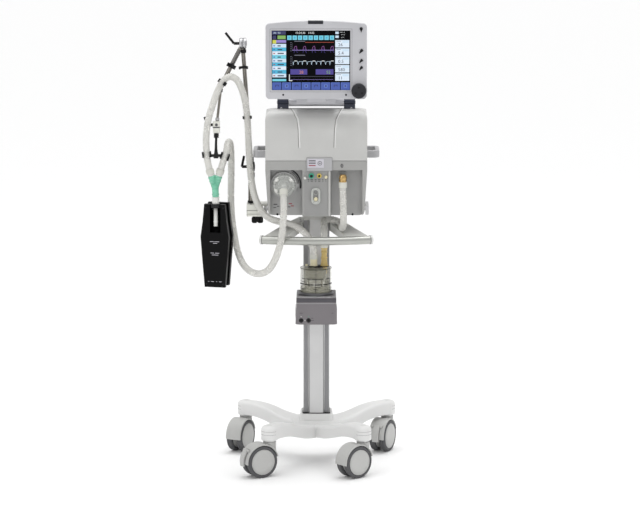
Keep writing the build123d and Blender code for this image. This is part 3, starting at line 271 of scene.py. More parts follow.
# --------------------------------------------------------------- mesh making
class Shape:
    """Gathers solids in one mesh; every solid can have its own material."""

    def __init__(self, *keys):
        self.bm = bmesh.new()
        self.keys = keys

    def put(self, verts, faces, key=0, flat=False):
        made = [self.bm.verts.new(Vector(v) * MM) for v in verts]
        out = []
        for face in faces:
            try:
                f = self.bm.faces.new([made[i] for i in face])
            except ValueError:
                continue
            f.material_index, f.smooth = key, not flat
            out.append(f)
        return out

    def lathe(self, profile, at, axis, key=0, steps=48, wave=None):
        """Turns (radius, height) pairs about an axis; wave(angle, r, h) may change the radius."""
        turn = Vector(axis).normalized().to_track_quat("Z", "Y").to_matrix()
        at = Vector(at)
        verts, rings = [], []
        for r, h in profile:
            ring = []
            for i in range(1 if r <= 1e-6 else steps):
                a = 2 * pi * i / steps
                rr = wave(a, r, h) if wave and r > 1e-6 else r
                ring.append(len(verts))
                verts.append(at + turn @ Vector((rr * cos(a), rr * sin(a), h)))
            rings.append(ring)
        faces = []
        for low, high in zip(rings, rings[1:]):
            for i in range(steps):
                j = (i + 1) % steps
                if len(low) == 1 and len(high) == 1:
                    continue
                if len(low) == 1:
                    faces.append((low[0], high[j], high[i]))
                elif len(high) == 1:
                    faces.append((low[i], low[j], high[0]))
                else:
                    faces.append((low[i], low[j], high[j], high[i]))
        self.put(verts, faces, key)

    def bead(self, at, axis, r, length, key=0, edge=0.8, steps=32, wave=None):
        """A round pad or cap with softened rims, from at along axis."""
        e = min(edge, r * 0.45, length * 0.45)
        self.lathe([(0, 0), (r - e, 0), (r - 0.3 * e, 0.3 * e), (r, e), (r, length - e),
                    (r - 0.3 * e, length - 0.3 * e), (r - e, length), (0, length)],
                   at, axis, key, steps, wave)

    def prism(self, outline, at, normal, up, depth, key=0, edge=0.6):
        """Extrudes a closed outline, given as (right, up) pairs, along normal from at."""
        n, u = Vector(normal).normalized(), Vector(up).normalized()
        right = u.cross(n)
        base = [Vector(at) + right * a + u * b for a, b in outline]
        count = len(base)
        verts = base + [p + n * depth for p in base]
        faces = [tuple(reversed(range(count))), tuple(range(count, 2 * count))]
        faces += [(i, (i + 1) % count, count + (i + 1) % count, count + i) for i in range(count)]
        sides = self.put(verts, faces, key, flat=True)
        if edge:
            rim = list({e for f in sides for e in f.edges})
            for f in bmesh.ops.bevel(self.bm, geom=rim, offset=edge * MM, segments=2, affect="EDGES",
                                     clamp_overlap=True)["faces"]:
                f.material_index = key

    def box(self, lo, hi, key=0, edge=0.6):
        (x0, x1), (y0, y1), (z0, z1) = [sorted(pair) for pair in zip(lo, hi)]
        w, h = (x1 - x0) / 2, (z1 - z0) / 2
        self.prism([(-w, -h), (w, -h), (w, h), (-w, h)], ((x0 + x1) / 2, y1, (z0 + z1) / 2),
                   FRONT, UP, y1 - y0, key, edge)

    def pipe(self, path, radii, key=0, steps=20, caps=True):
        """Rings along a path; radii is one number or one for each point."""
        path = [Vector(p) for p in path]
        if not hasattr(radii, "__len__"):
            radii = [radii] * len(path)
        verts, side = [], None
        for i, p in enumerate(path):
            way = (path[min(i + 1, len(path) - 1)] - path[max(i - 1, 0)]).normalized()
            if side is None:
                side = way.orthogonal().normalized()
            side = (side - way * side.dot(way)).normalized()
            other = way.cross(side)
            for k in range(steps):
                a = 2 * pi * k / steps
                verts.append(p + (side * cos(a) + other * sin(a)) * radii[i])
        faces = []
        for i in range(len(path) - 1):
            for k in range(steps):
                j = (k + 1) % steps
                faces.append((i * steps + k, i * steps + j, (i + 1) * steps + j, (i + 1) * steps + k))
        if caps:
            faces.append(tuple(reversed(range(steps))))
            faces.append(tuple(range((len(path) - 1) * steps, len(path) * steps)))
        self.put(verts, faces, key)

    def strip(self, points, width, y, key=0):
        """A thin flat line on an upright face, through (x, z) points."""
        for (x0, z0), (x1, z1) in zip(points, points[1:]):
            run = Vector((x1 - x0, z1 - z0))
            if run.length < 1e-6:
                continue
            n = Vector((-run.y, run.x)).normalized() * width / 2
            self.put([(x0 - n.x, y, z0 - n.y), (x1 - n.x, y, z1 - n.y), (x1 + n.x, y, z1 + n.y),
                      (x0 + n.x, y, z0 + n.y)], [(0, 1, 2, 3)], key, flat=True)

    def words(self, text, x, z, size, y, key=0):
        """Plain numerals on an upright face, the left foot of the first at (x, z)."""
        line = bpy.data.curves.new("words", "FONT")
        line.body, line.size, line.resolution_u = text, size, 2
        made = bpy.data.objects.new("words", line)
        mesh = bpy.data.meshes.new_from_object(made)
        self.put([(x + v.co.x, y, z + v.co.y) for v in mesh.vertices],
                 [tuple(p.vertices) for p in mesh.polygons], key, flat=True)
        bpy.data.objects.remove(made)

    def done(self, name, body, *replaced):
        mesh = bpy.data.meshes.new(name)
        bmesh.ops.recalc_face_normals(self.bm, faces=self.bm.faces)
        self.bm.to_mesh(mesh)
        self.bm.free()
        obj = bpy.data.objects.new(name, mesh)
        for key in self.keys:
            mesh.materials.append(M[key])
        bpy.context.collection.objects.link(obj)
        if body:
            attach(obj, body)
        if replaced:
            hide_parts(*replaced)
        return obj


def screw(shape, at, axis, r=3.2, key=0, dark=1):
    """A low domed head with a hexagon socket."""
    shape.lathe([(0, -0.5), (r, -0.5), (r, 0.5), (r * 0.8, 1.3), (r * 0.5, 1.5), (0, 1.5)], at, axis, key, 20)
    n = Vector(axis).normalized()
    shape.lathe([(0, 0), (r * 0.48, 0), (r * 0.42, 0.12), (0, 0.12)], Vector(at) + n * 1.5, axis, dark, 6)


def turns(start, end, count):
    """Angles in radians, evenly from start to end, which are in degrees."""
    return [radians(start + (end - start) * i / (count - 1)) for i in range(count)]


def face_arc(x, y, z, r, start=0, end=360, count=25, high=None):
    """Points of an arc on an upright face, from +X towards +Z; high is its upright radius."""
    return [(x + r * cos(t), y, z + (high or r) * sin(t)) for t in turns(start, end, count)]


def flat_arc(x, y, z, r, start=0, end=360, count=61):
    """Points of a level arc, from +X towards +Y."""
    return [(x + r * cos(t), y + r * sin(t), z) for t in turns(start, end, count)]


def ball(shape, at, r, key, steps):
    shape.lathe([(r * sin(t), -r * cos(t)) for t in turns(0, 180, 15)], at, UP, key, steps)


def round_rect(w, d, r, steps=6):
    """Outline of a rounded rectangle about the origin."""
    out = []
    for cx, cy, start in ((1, 1, 0), (-1, 1, 90), (-1, -1, 180), (1, -1, 270)):
        out += [(cx * (w / 2 - r) + r * cos(a), cy * (d / 2 - r) + r * sin(a))
                for a in turns(start, start + 90, steps + 1)]
    return out


def knurl(count, depth, low, high, inner=2.5):
    """Flutes on the part of a turned piece between two heights, outside the inner radius."""
    return lambda a, r, h: r - (depth * (0.5 + 0.5 * cos(count * a)) if low < h < high and r > inner else 0)


def stack(shape, rings, key=0):
    """Joins equal rings of points into a closed solid."""
    count = len(rings[0])
    verts = [p for ring in rings for p in ring]
    faces = [tuple(reversed(range(count))), tuple(range((len(rings) - 1) * count, len(rings) * count))]
    for i in range(len(rings) - 1):
        faces += [(i * count + k, i * count + (k + 1) % count, (i + 1) * count + (k + 1) % count,
                   (i + 1) * count + k) for k in range(count)]
    shape.put(verts, faces, key)


def plate(shape, x, z, corner, layers, key):
    """A raised plate on a back wall; layers are (width, height, y)."""
    stack(shape, [[(x + a, y, z + b) for a, b in round_rect(w, h, corner)] for w, h, y in layers], key)


# -------------------------------------------------------------------- hoses
ROUTES = {
    "supply_hose": [
        (82, -188, 908), (82, -188, 870), (84, -190, 828), (84, -186, 796), (83, -175, 773),
        (81, -152, 762), (79, -124, 762), (77.5, -98, 764), (76.6, -75.6, 766), (66.6, -61.9, 770),
        (50.6, -56.7, 775), (34.6, -61.9, 777), (24.6, -75.6, 773), (24, -94, 760),
        (24.6, -110, 731), (24.6, -110, 700)],
    "inspiratory_hose": [
        (-8, -110, 664), (-8, -110, 690), (-19, -116, 723), (-46, -125, 755), (-80, -131, 773),
        (-115, -134, 780), (-148, -135, 790), (-172, -131, 814), (-188, -121, 846),
        (-198, -110, 882), (-204, -101, 925), (-208, -95, 972), (-210, -91, 1020),
        (-212, -89, 1070), (-216, -89, 1130), (-228, -92, 1186), (-248, -98, 1226),
        (-278, -106, 1230), (-302, -110, 1193), (-318, -112, 1148), (-332, -115, 1106),
        (-340, -118, 1060), (-341, -119, 1005), (-336, -120, 958), (-325, -120, 922)],
    "expiratory_hose": [
        (-302, -120, 922), (-291, -120, 957), (-278, -120, 998), (-275, -106, 1017),
        (-272, -84, 1024), (-269, -62, 1017), (-266, -48, 998), (-265, -47, 956),
        (-266, -48, 892), (-267, -50, 832), (-264, -53, 776), (-256, -58, 722),
        (-246, -70, 672), (-228, -91, 634), (-200, -118, 615), (-168, -152, 618),
        (-141, -188, 642), (-121, -222, 688), (-109, -246, 733), (-103, -250, 776),
        (-100, -242, 818), (-100, -224, 855), (-100, -206, 886)],
}
RIB_STEP, SMOOTH_END, SMOOTH_R = 1.4, 14, 10.9
RIB_RADII = (9.1, 10.6, 11.0, 10.6)


def route_line(name):
    """Points along the route's smooth spline, in millimetres."""
    data = bpy.data.curves.new(name + "_route", "CURVE")
    data.dimensions, data.resolution_u = "3D", 24
    spline = data.splines.new("NURBS")
    spline.points.add(len(ROUTES[name]) - 1)
    for point, place in zip(spline.points, ROUTES[name]):
        point.co = (*(Vector(place) * MM), 1.0)
    spline.order_u = 3
    spline.use_endpoint_u = True
    line = bpy.data.objects.new(name + "_route", data)
    mesh = bpy.data.meshes.new_from_object(line)
    points = [v.co / MM for v in mesh.vertices]
    bpy.data.objects.remove(line)
    return points


def even_steps(points, step):
    """The same line at even steps."""
    out, left = [points[0].copy()], step
    for a, b in zip(points, points[1:]):
        run = (b - a).length
        while run > left:
            a = a + (b - a).normalized() * left
            out.append(a.copy())
            run -= left
            left = step
        left -= run
    out.append(points[-1].copy())
    return out


for hose_name in ROUTES:
    # fine rolled ribs, smooth at both ends under the cuffs
    line = even_steps(route_line(hose_name), RIB_STEP)
    smooth = round(SMOOTH_END / RIB_STEP)
    radii = [SMOOTH_R if i < smooth or i >= len(line) - smooth else RIB_RADII[i % 4] for i in range(len(line))]
    shape = Shape("hose")
    shape.pipe(line, radii, 0, 28)
    hose = shape.done(hose_name + "_ribbed", "frame", hose_name)
    path = [p * MM for p in line]

# ------------------------------------------------------------------- castors
# turned outlines of one wheel, as (radius, distance from the fork's middle)
TREAD = [(40.2, 8), (46, 8), (48.9, 9.2), (50, 12.4), (50, 17), (49.2, 17.5), (49.2, 18.2),
         (50, 18.7), (50, 23), (48.9, 26), (46, 27.4), (42, 27.6), (40.2, 26.6), (40.2, 8)]
DISC = [(5, 8.4), (39.9, 8.4), (39.9, 26.4), (39.2, 27.6), (38.3, 27.9), (37.8, 27.2),
        (37.1, 27.2), (36.6, 28.0), (24, 28.4), (0, 28.5)]
joints = {j["name"]: j for j in frame["joints"]}
for corner in ("fl", "fr", "rl", "rr"):
    roll = joints["roll_" + corner]
    centre, axis = Vector(roll["pos_m"]) / MM, Vector(roll["axis"])
    shape = Shape("tyre", "disc", "steel")
    for side in (-1, 1):
        way = axis * side
        shape.lathe(TREAD, centre, way, 0, 72)
        shape.lathe(DISC, centre, way, 1, 72)
        shape.lathe([(0, 6), (7.5, 6), (7.5, 8.5)], centre, way, 2, 24)
    shape.done("wheels_detail_" + corner, "wheels_" + corner, "castor_wheels_" + corner)

    # a dust cover over the swivel's stem
    x, y = (Vector(joints["swivel_" + corner]["pos_m"]) / MM).xy
    shape = Shape("black")
    shape.lathe([(6, 107.1), (15, 107.1), (15.6, 107.8), (15.6, 112.4), (6, 112.4)], (x, y, 0), UP, 0, 36)
    shape.done("swivel_seal_" + corner, "castor_" + corner)

# -------------------------------------------------------------- base and column
PODS = ((-145, -243), (145, -243), (-227, 125), (227, 125))
COLUMN_FOOT, COLUMN_TOP = 152, 768
shape = Shape("black", "steel", "channel", "cap", "column")
stack(shape, [[(x, y, z) for x, y in round_rect(88, 83, 8)] for z in (149.6, 152.2)], 0)
for x in (-48, 48):
    shape.lathe([(0, 0), (6, 0), (6, 3.5), (5, 4.6), (0, 4.6)], (x, -62, 86.5), (0, 0, -1), 1, 6)
# darker strips in the slots beside the column's middle rib, between lips in the column's colour: painted shade of
# the slots
for side in (-1, 1):
    for face in (-1, 1):
        shape.box((side * 25.2, face * 30.6, COLUMN_FOOT), (side * 40.4, face * 31.5, COLUMN_TOP), 2, 0.4)
        for x, y, r, key in ((26.0, 31.6, 0.9, 4), (39.4, 31.6, 0.9, 4), (22.5, 39.05, 0.5, 2)):
            shape.pipe([(side * x, face * y, z) for z in (COLUMN_FOOT, COLUMN_TOP)], r, key, 8)
for x, y in PODS:
    shape.lathe([(0, 157.6), (8.5, 157.6), (8.5, 158.2), (7.6, 158.7), (0, 158.9)], (x, y, 0), UP, 3, 32)
    out = degrees(atan2(y + 25, x))
    for z in (131.5, 141.5):
        shape.pipe(flat_arc(x, y, z, 26.0, out - 86, out + 86, 31), 0.45, 2, 6)
shape.done("stand_trim", "frame")

shape = Shape("cap", "steel", "black", "ink")
for side in (-1, 1):
    way, end = Vector((side * 0.9557, 0.2945, 0)), Vector((side * 165.6, -200.1, 734))
    shape.bead(end, way, 14.0, 6.8, 0, 2.2, 40)
    shape.lathe([(12, 0), (13.85, 0), (13.85, 0.9), (12, 0.9)], end - way, way, 3, 48)
for x in (-26, 26):
    screw(shape, (x, -39.2, 779), FRONT, 4.6, 1, 2)
for side in (-1, 1):
    for y in (-24, 4, 30):
        screw(shape, (side * 50, y, 762 + (y + 31) * 0.05), UP, 3.6, 1, 2)
shape.done("bracket_trim", "frame")

# ---------------------------------------------------------------- humidifier
HUM_FRONT, HUM_SLOPE, HUM_FOOT, HUM_SIZE = -176.0, 0.0454, 463.0, 130


def hum_front(z):
    return HUM_FRONT + HUM_SLOPE * (z - HUM_FOOT)


def hum_ring(z, proud):
    size = HUM_SIZE - 2 * HUM_SLOPE * (z - HUM_FOOT) + 2 * proud
    return [(x, y - 111, z) for x, y in round_rect(size, size, 5)]


shape = Shape("housing_band", "label", "black", "white_port", "green_port", "ink", "dish")
stack(shape, [hum_ring(z, p) for z, p in ((533, 0.1), (533.3, 0.6), (544.6, 0.6), (545, 0.1))], 0)
stack(shape, [hum_ring(z, p) for z, p in ((528, 0.1), (528.2, 0.5), (529.2, 0.5), (529.4, 0.1))], 1)
for x in (-47, -24):
    shape.lathe([(5.2, 0), (7.0, 0), (7.0, 0.5), (6.4, 0.9), (5.2, 0.9)], (x, hum_front(476) - 0.1, 476),
                FRONT, 2, 32)
for x, z, key in ((-47, 488, 3), (-24, 488, 4), (-35.5, 476, 3)):
    shape.lathe([(0, 0), (1.3, 0), (1.2, 0.5), (0, 0.6)], (x, hum_front(z), z), FRONT, key, 12)
for i in range(7):
    for side in (-1, 1):
        x = side * 64.2
        shape.box((x - 0.6, -150 + 9 * i, 478), (x + 0.2, -146 + 9 * i, 512), 5, 0.2)
rim = hum_ring(549.2, -0.6)
shape.pipe([*rim, rim[0]], 1.1, 6, 10, caps=False)
for x, z, w in ((-47, 499, 9), (-24, 483, 3), (-12, 483, 6), (-12, 476, 9), (50, 499, 5)):
    shape.box((x - w / 2, hum_front(z) - 0.45, z - 0.6), (x + w / 2, hum_front(z) + 0.3, z + 0.6), 5, 0)
shape.done("humidifier_trim", "frame")

CHAMBER = (-1.5, -110.0)
CHAMBER_FOOT = (*CHAMBER, 0)
shape = Shape("clear", "black", "ink", "water")
shape.lathe([(52.0, 553.6), (52.0, 555.6), (50.2, 556.4), (49.5, 558), (49.5, 626), (48.8, 630.4), (46, 633.8),
             (41.5, 635.7), (12, 636), (12, 634.4), (41, 634.1), (45, 631.6), (47.6, 626), (47.6, 557),
             (47.6, 553.6)], CHAMBER_FOOT, UP, 0, 96)
shape.lathe([(50, 553), (52.2, 553), (52.2, 557.4), (50.8, 558), (50, 557.6)], CHAMBER_FOOT, UP, 1, 72)
shape.lathe([(0, 553.4), (47.2, 553.4), (47.2, 572), (0, 572)], CHAMBER_FOOT, UP, 3, 64)
# graduations: broken rings, the middle one the boldest
for z, r, spans in ((570, 0.8, ((192, 206), (210, 232), (262, 278), (306, 322), (330, 346))),
                    (577, 0.7, ((198, 212), (268, 284), (300, 316))),
                    (585, 1.9, ((196, 222), (228, 262), (266, 292), (298, 318), (324, 346))),
                    (593, 0.7, ((190, 204), (216, 226), (312, 330))),
                    (602, 1.1, ((210, 230), (236, 252), (256, 300), (312, 330)))):
    for start, end in spans:
        shape.pipe(flat_arc(*CHAMBER, z, 49.7, start, end, 13), r, 1, 6)
for z, ring_r, r in ((557.6, 49.9, 0.6), (631.8, 48.0, 1.0)):
    shape.pipe(flat_arc(*CHAMBER, z, ring_r), r, 1, 6)
for x, y, z in flat_arc(*CHAMBER, 0, 49.5, 30, 330, 6):
    shape.pipe([(x, y, 559), (x, y, 628)], 0.8, 2, 8)
shape.done("chamber_shell", "frame", "chamber_dome")

shape = Shape("dish", "white_port", "amber", "cream_port", "black", "chamber_dark")
shape.lathe([(0, 551.1), (51.5, 551.1), (51.8, 552.6), (50, 553.2), (44, 553.2), (43, 551.9), (0, 551.9)],
            CHAMBER_FOOT, UP, 0, 64)
# float, baffle and drip guard inside
shape.lathe([(0, 572.4), (24, 572.4), (26, 574), (26, 583), (24, 585), (0, 585)], (CHAMBER[0], CHAMBER[1] + 8, 0),
            UP, 1, 48)
shape.lathe([(31, 600), (33, 600), (33, 628), (31, 628)], CHAMBER_FOOT, UP, 5, 60,
            knurl(12, 1.2, 601, 627))
for x in (-22, 19):
    shape.lathe([(0, 574), (2.6, 574), (2.6, 634), (0, 634)], (CHAMBER[0] + x, CHAMBER[1] - 18, 0), UP, 5, 16)
for x, low, top, key in ((-8, 634, 664, 3), (24.6, 612, 700, 2)):
    neck = [(7.4, low), (9.2, low), (9.2, 636), (13.4, 636.3), (13.4, 639), (11, 640.5), (10.6, 648)]
    if key == 2:
        neck += [(9.6, 652), (9.2, 660), (10.6, 661), (10.6, 664), (9.2, 665), (9.0, 678), (10.4, 679),
                 (10.4, 682), (9.0, 683), (9.2, 690)]
    neck += [(10.9, top - 7), (11, top - 1), (9.4, top), (7.4, top)]
    shape.lathe(neck, (x, CHAMBER[1], 0), UP, key, 40)
    shape.lathe([(11, 636.2), (15.2, 636.2), (15.2, 637.6), (11, 638.2)], (x, CHAMBER[1], 0), UP, 4, 40)
shape.pipe([(-26, -136, 637), (-14, -134, 639.6), (0, -137, 637.4), (10, -133, 639), (20, -136, 637)], 1.5, 4, 10)
shape.bead((8, -132, 636), UP, 5.2, 6, 4, 1.0, 24)
shape.bead((-30, -104, 636), UP, 4.0, 5, 3, 0.8, 24)
shape.done("chamber_inside", "frame", "chamber_fittings")

# ------------------------------------------------------------ ventilator body
BAY_Y, SIGN_Y, PANEL_Y, BLOCK_Y = -155, -156.2, -180.0, -183.7
BACK_WALL = 120
GROOVE_LINE = ((54, 1016), (55, 1048), (56, 1076), (60, 1104), (70, 1122), (80, 1134))
GROOVE = even_steps([Vector(p) for p in GROOVE_LINE], 3.0)
shape = Shape("bay", "label", "cover", "ink", "ink_red", "black", "label_plate", "steel", "centre", "groove_shade",
              "white_paint")
# darker liners on the back walls of the two bays: painted shade of the recesses
for x0, x1 in ((-141.6, -43.4), (45.4, 141.6)):
    half = (x1 - x0) / 2
    outline = [(-half, 0), (half, 0), (half, 130)]
    outline += [(half - 12 + 12 * cos(t), 130 + 12 * sin(t)) for t in turns(15, 90, 6)]
    outline += [(12 - half - 12 * sin(t), 130 + 12 * cos(t)) for t in turns(0, 90, 7)]
    shape.prism(outline, ((x0 + x1) / 2, BAY_Y, 805.5), FRONT, UP, 0.8, 0, 0)
shape.prism(round_rect(73, 138, 5), (-1, PANEL_Y, 876), FRONT, UP, 0.5, 8, 0.2)
shape.pipe([(40.5, -180.5, 806), (40.5, -182.2, 812), (40.5, -182.2, 940), (40.5, -180.5, 945)], 3.4, 2, 14)
# marks under the ports, the icon on the band and signs in the left bay; the arcs round the valve are painted
# shadow of the recess rim
for x, w in ((-24, 5), (-14, 9), (-2, 6), (9, 8), (20, 4), (29, 3)):
    shape.box((x - w / 2, -180.75, 917), (x + w / 2, -180.45, 919.4), 3, 0)
    shape.box((x - w / 2 + 1, -180.75, 912.6), (x + w / 2 - 0.5, -180.45, 914.2), 3, 0)
shape.pipe(face_arc(79, PANEL_Y - 0.2, 962, 3.4, high=5.2), 0.9, 3, 8, caps=False)
shape.box((78.3, -180.5, 959.5), (79.7, -180.1, 964.5), 3, 0)
# a bold black arc and a thin ink arc round the valve, thickest at the upper right: painted shadow of the round
# recess
shape.pipe(face_arc(-100, SIGN_Y, 899, 52, -12, 96, 30), 2.2, 5, 10)
shape.pipe(face_arc(-100, SIGN_Y, 899, 47, 8, 60, 18), 1.0, 3, 8)
for x, z, w, h, key in ((-126, 838, 12, 3, 3), (-118, 832, 8, 2.4, 3), (-128, 828, 9, 2, 3),
                        (-80, 840, 10, 3, 4), (-74, 833, 9, 3, 4), (-84, 830, 8, 2.4, 3)):
    shape.box((x - w / 2, SIGN_Y, z - h / 2), (x + w / 2, -155.7, z + h / 2), key, 0)
shape.box((-27, BLOCK_Y, 955.8), (23.4, -183.1, 983.4), 6, 0.2)
for z, key in ((977.6, 3), (970.6, 3), (963.0, 4)):
    shape.box((-23, -184.05, z - 1.5), (-2, -183.6, z + 1.5), key, 0.1)
shape.pipe(face_arc(11, BLOCK_Y - 0.1, 970, 6, count=29), 0.7, 3, 8, caps=False)
shape.box((8.6, -184.0, 969), (13.4, -183.6, 971), 3, 0)
for x in (-120, 112):
    shape.lathe([(0, 0), (3.6, 0), (3.2, 0.8), (0, 1.0)], (x, PANEL_Y + 0.2, 810.5), FRONT, 5, 20)

# a rounded edge rises beside each groove of the cover, coloured in the light white paint as a painted highlight,
# and a thin darker line laid in each groove is painted shade
cover = BVHTree.FromObject(nodes["front_cover"], bpy.context.evaluated_depsgraph_get())
to_cover = nodes["front_cover"].matrix_world
for side, beside, wide in ((-1, 3.6, 2.7), (1, 3.4, 1.8)):
    for shift, radius, sunk, key in ((beside, wide, 0.45, 10), (0, 0.75, 0.0, 9)):
        path = []
        for x, z in GROOVE:
            start = to_cover.inverted() @ (Vector((side * x + shift, -400, z)) * MM)
            hit = cover.ray_cast(start, Vector(BACK))[0]
            if hit:
                path.append(to_cover @ hit / MM + Vector((0, sunk * radius, 0)))
        shape.pipe(path, [radius * 0.45] + [radius] * (len(path) - 2) + [radius * 0.45], key, 12)
shape.done("front_details", "frame")

PORT_Y = -180.3
shape = Shape("green_port", "yellow_port", "white_port", "cream_port", "black", "milky")
for x, z, r, key in ((-15, 931, 8.6, 0), (9, 931, 7.4, 1)):
    shape.lathe([(0, 0.2), (r, 0.2), (r, 5.8), (r - 0.9, 7.0), (r - 3.2, 7.2), (r - 3.6, 8.6), (0, 8.6)],
                (x, PORT_Y, z), FRONT, key, 96, knurl(22, 0.5, 1, 6))
    shape.lathe([(0, 0), (r - 3.8, 0), (r - 4.0, 0.5), (0, 0.6)], (x, -188.8, z), FRONT, 4, 32)
for x, z, r, key in ((-35, 924, 4.4, 2), (30, 927, 4.9, 3)):
    shape.lathe([(0, 0), (r, 0), (r, 6), (r - 0.8, 8.4), (0, 9)], (x, PORT_Y, z), FRONT, key, 60,
                knurl(14, 0.35, 1, 7))
outer = [(-1.5 + a, 868 + b) for a, b in round_rect(28, 50, 12, 8)]
inner = [(-1.5 + a, 870 + b) for a, b in round_rect(16, 36, 7, 8)]
n = len(outer)
faces = []
for i in range(n):
    j = (i + 1) % n
    faces += [(i, j, n + j, n + i), (2 * n + i, 3 * n + i, 3 * n + j, 2 * n + j),
              (i, 2 * n + i, 2 * n + j, j), (n + i, n + j, 3 * n + j, 3 * n + i)]
shape.put([(x, y, z) for y in (-188.2, -180.4) for x, z in outer + inner], faces, 5, flat=True)
shape.bead((-1.5, -180.4, 858), FRONT, 6.4, 5.4, 3, 1.2, 32)
shape.lathe([(6.6, 0), (7.6, 0), (7.6, 3), (6.6, 3.4)], (-1.5, -180.4, 880), FRONT, 2, 32)
shape.done("port_details", "frame", "pressure_ports")

shape = Shape("brass", "panel")
shape.lathe([(0, 0), (17, 0), (17, 3.4), (15.8, 4.8), (11.4, 5), (11, 6), (11, 33)], (82, -155.2, 925),
            FRONT, 1, 48)
shape.lathe([(0, 936.2), (8, 935.6), (11, 932), (11.4, 929), (12.2, 928), (12.2, 922), (11.2, 921),
             (11.2, 917), (12, 916), (12, 912.5), (11.2, 911.5), (11, 908), (9, 908), (9, 930)],
            (82, -188, 0), UP, 0, 48)
shape.done("outlet_fitting", "frame", "inspiratory_port")

VALVE_X, VALVE_Z = -100, 899
shape = Shape("milky", "white_port")
shape.lathe([(20, 0.5), (36, 0.5), (36, 13), (34.6, 16.4), (31, 19.4), (29.4, 21.2), (26, 21.6), (25.4, 20.4),
             (21, 20.4), (20.4, 22.4), (19, 23), (19, 29.4), (17, 31.6), (9, 32), (8.4, 30.6), (0, 30.4)],
            (VALVE_X, BAY_Y, VALVE_Z), FRONT, 0, 96,
            lambda a, r, h: r + (0.35 * cos(36 * a) if r > 33 and h < 14 else 0))
for turn in (40, 140, 215):
    t = radians(turn)
    shape.bead((VALVE_X + 28 * cos(t), -163, VALVE_Z + 28 * sin(t)), FRONT, 5.6, 17, 1, 1.6, 28)
    half = degrees(0.32)
    shape.pipe(face_arc(VALVE_X, -174.4, VALVE_Z, 31, turn - half, turn + half, 7), 2.4, 1, 10)
way = Vector((0, 18, 31)).normalized()
end = Vector(ROUTES["expiratory_hose"][-1])
shape.lathe([(8.8, 0), (11, 0), (11, 12), (12.2, 13), (12.2, 16), (11.2, 17), (11.2, 27), (0, 29)],
            end, way, 0, 40)
shape.done("valve_detail", "frame", "exhalation_valve")

# ------------------------------------------------------------------- gas inlets
shape = Shape("brass", "steel")
for x, r in ((-100, 7.1), (-60, 9.5)):
    shape.lathe([(0, 0), (r + 6, 0), (r + 6, 5.4), (r + 5, 7.6), (0, 8)], (x, BACK_WALL + 0.2, 850), BACK, 0, 6)
    thread = [(r - 4.5, 7)]
    for i in range(10):
        thread += [(r - 0.6, 8.4 + 1.6 * i), (r, 9.0 + 1.6 * i), (r, 9.4 + 1.6 * i)]
    thread += [(r - 0.8, 25.6), (r - 4.5, 25.8), (r - 4.5, 12)]
    shape.lathe(thread, (x, BACK_WALL, 850), BACK, 1, 40)
shape.done("inlet_threads", "frame", "gas_inlets")

# --------------------------------------------------------- back and side details
shape = Shape("black", "steel", "side", "cap", "ink")
for i in range(11):
    shape.box((-10 + 12 * i, 119.6, 900), (-5 + 12 * i, 120.6, 968), 4, 0.4)
plate(shape, 60, 1010, 8, ((88, 88, 119.8), (88, 88, 121.2), (84, 84, 122.0)), 2)
for r in (10, 18, 26, 34):
    shape.pipe(face_arc(60, 122.6, 1010, r, count=41), 1.2, 0, 8, caps=False)
for t in turns(45, 315, 4):
    shape.pipe([(60, 122.6, 1010), (60 + 38 * cos(t), 122.6, 1010 + 38 * sin(t))], 1.4, 0, 8)
    screw(shape, (60 + 52 * cos(t), 121, 1010 + 52 * sin(t)), BACK, 3, 1, 0)
plate(shape, -78, 1012, 4, ((94, 58, 119.6), (94, 58, 120.8), (91, 58, 121.4)), 2)
for x, z in ((-118, 1034), (-38, 1034), (-118, 990), (-38, 990),
             (-140, 820), (140, 820), (-140, 1070), (140, 1070)):
    screw(shape, (x, 120.6, z), BACK, 3, 1, 0)
plate(shape, 75, 840, 3, ((36, 30, 119.6), (36, 30, 122), (33, 27, 122.8)), 0)
for x, z in ((68, 838), (75, 842), (82, 838)):
    shape.box((x - 1, 121, z), (x + 1, 124.4, z + 7), 1, 0.2)
for side in (-1, 1):
    for i in range(9):
        shape.box((side * 156.4, -4 + 11 * i, 1016), (side * 157.4, 2 + 11 * i, 1048), 4, 0.3)
shape.done("back_details", "frame")

# -------------------------------------------------------------------- monitor
SCREEN_X, SCREEN_Z, GLASS_Y = (-136.0, 104.0), (1199.0, 1382.0), -207.0
SCREEN_KEYS = {
    "cyan": (112, 206, 226), "deep_cyan": (64, 178, 214), "pale": (206, 228, 246), "ice": (222, 236, 250),
    "blue": (56, 84, 168), "blue_edge": (92, 122, 200), "indigo": (62, 48, 140), "violet": (150, 132, 206),
    "yellow": (206, 208, 72), "green": (126, 176, 84), "navy_cell": (30, 34, 88), "white": (236, 240, 240),
    "red": (172, 66, 40), "magenta": (124, 62, 132), "grey": (96, 98, 112), "orange": (206, 130, 96),
    "dark_ink": (26, 34, 62),
}
screen_keys = list(SCREEN_KEYS)
for key, colour in SCREEN_KEYS.items():
    M[key] = lit("lit_" + key, srgb(*colour))


def at_screen(u, v):
    """Screen shares, u from the left and v from the top, as (x, z)."""
    return (SCREEN_X[0] + u * (SCREEN_X[1] - SCREEN_X[0]), SCREEN_Z[1] - v * (SCREEN_Z[1] - SCREEN_Z[0]))


shape = Shape(*screen_keys)


def cell(u0, v0, u1, v1, key, lift=0.12):
    (x0, z1), (x1, z0) = at_screen(u0, v0), at_screen(u1, v1)
    shape.put([(x0, GLASS_Y - lift, z0), (x1, GLASS_Y - lift, z0), (x1, GLASS_Y - lift, z1),
               (x0, GLASS_Y - lift, z1)], [(0, 1, 2, 3)], screen_keys.index(key), flat=True)


def trace(points, width, key, lift=0.24):
    shape.strip([at_screen(u, v) for u, v in points], width, GLASS_Y - lift, screen_keys.index(key))


def rule(u0, u1, v, width, key):
    trace([(u0, v), (u1, v)], width, key)


def write(text, u, v, size, key):
    shape.words(text, *at_screen(u, v), size, GLASS_Y - 0.3, screen_keys.index(key))


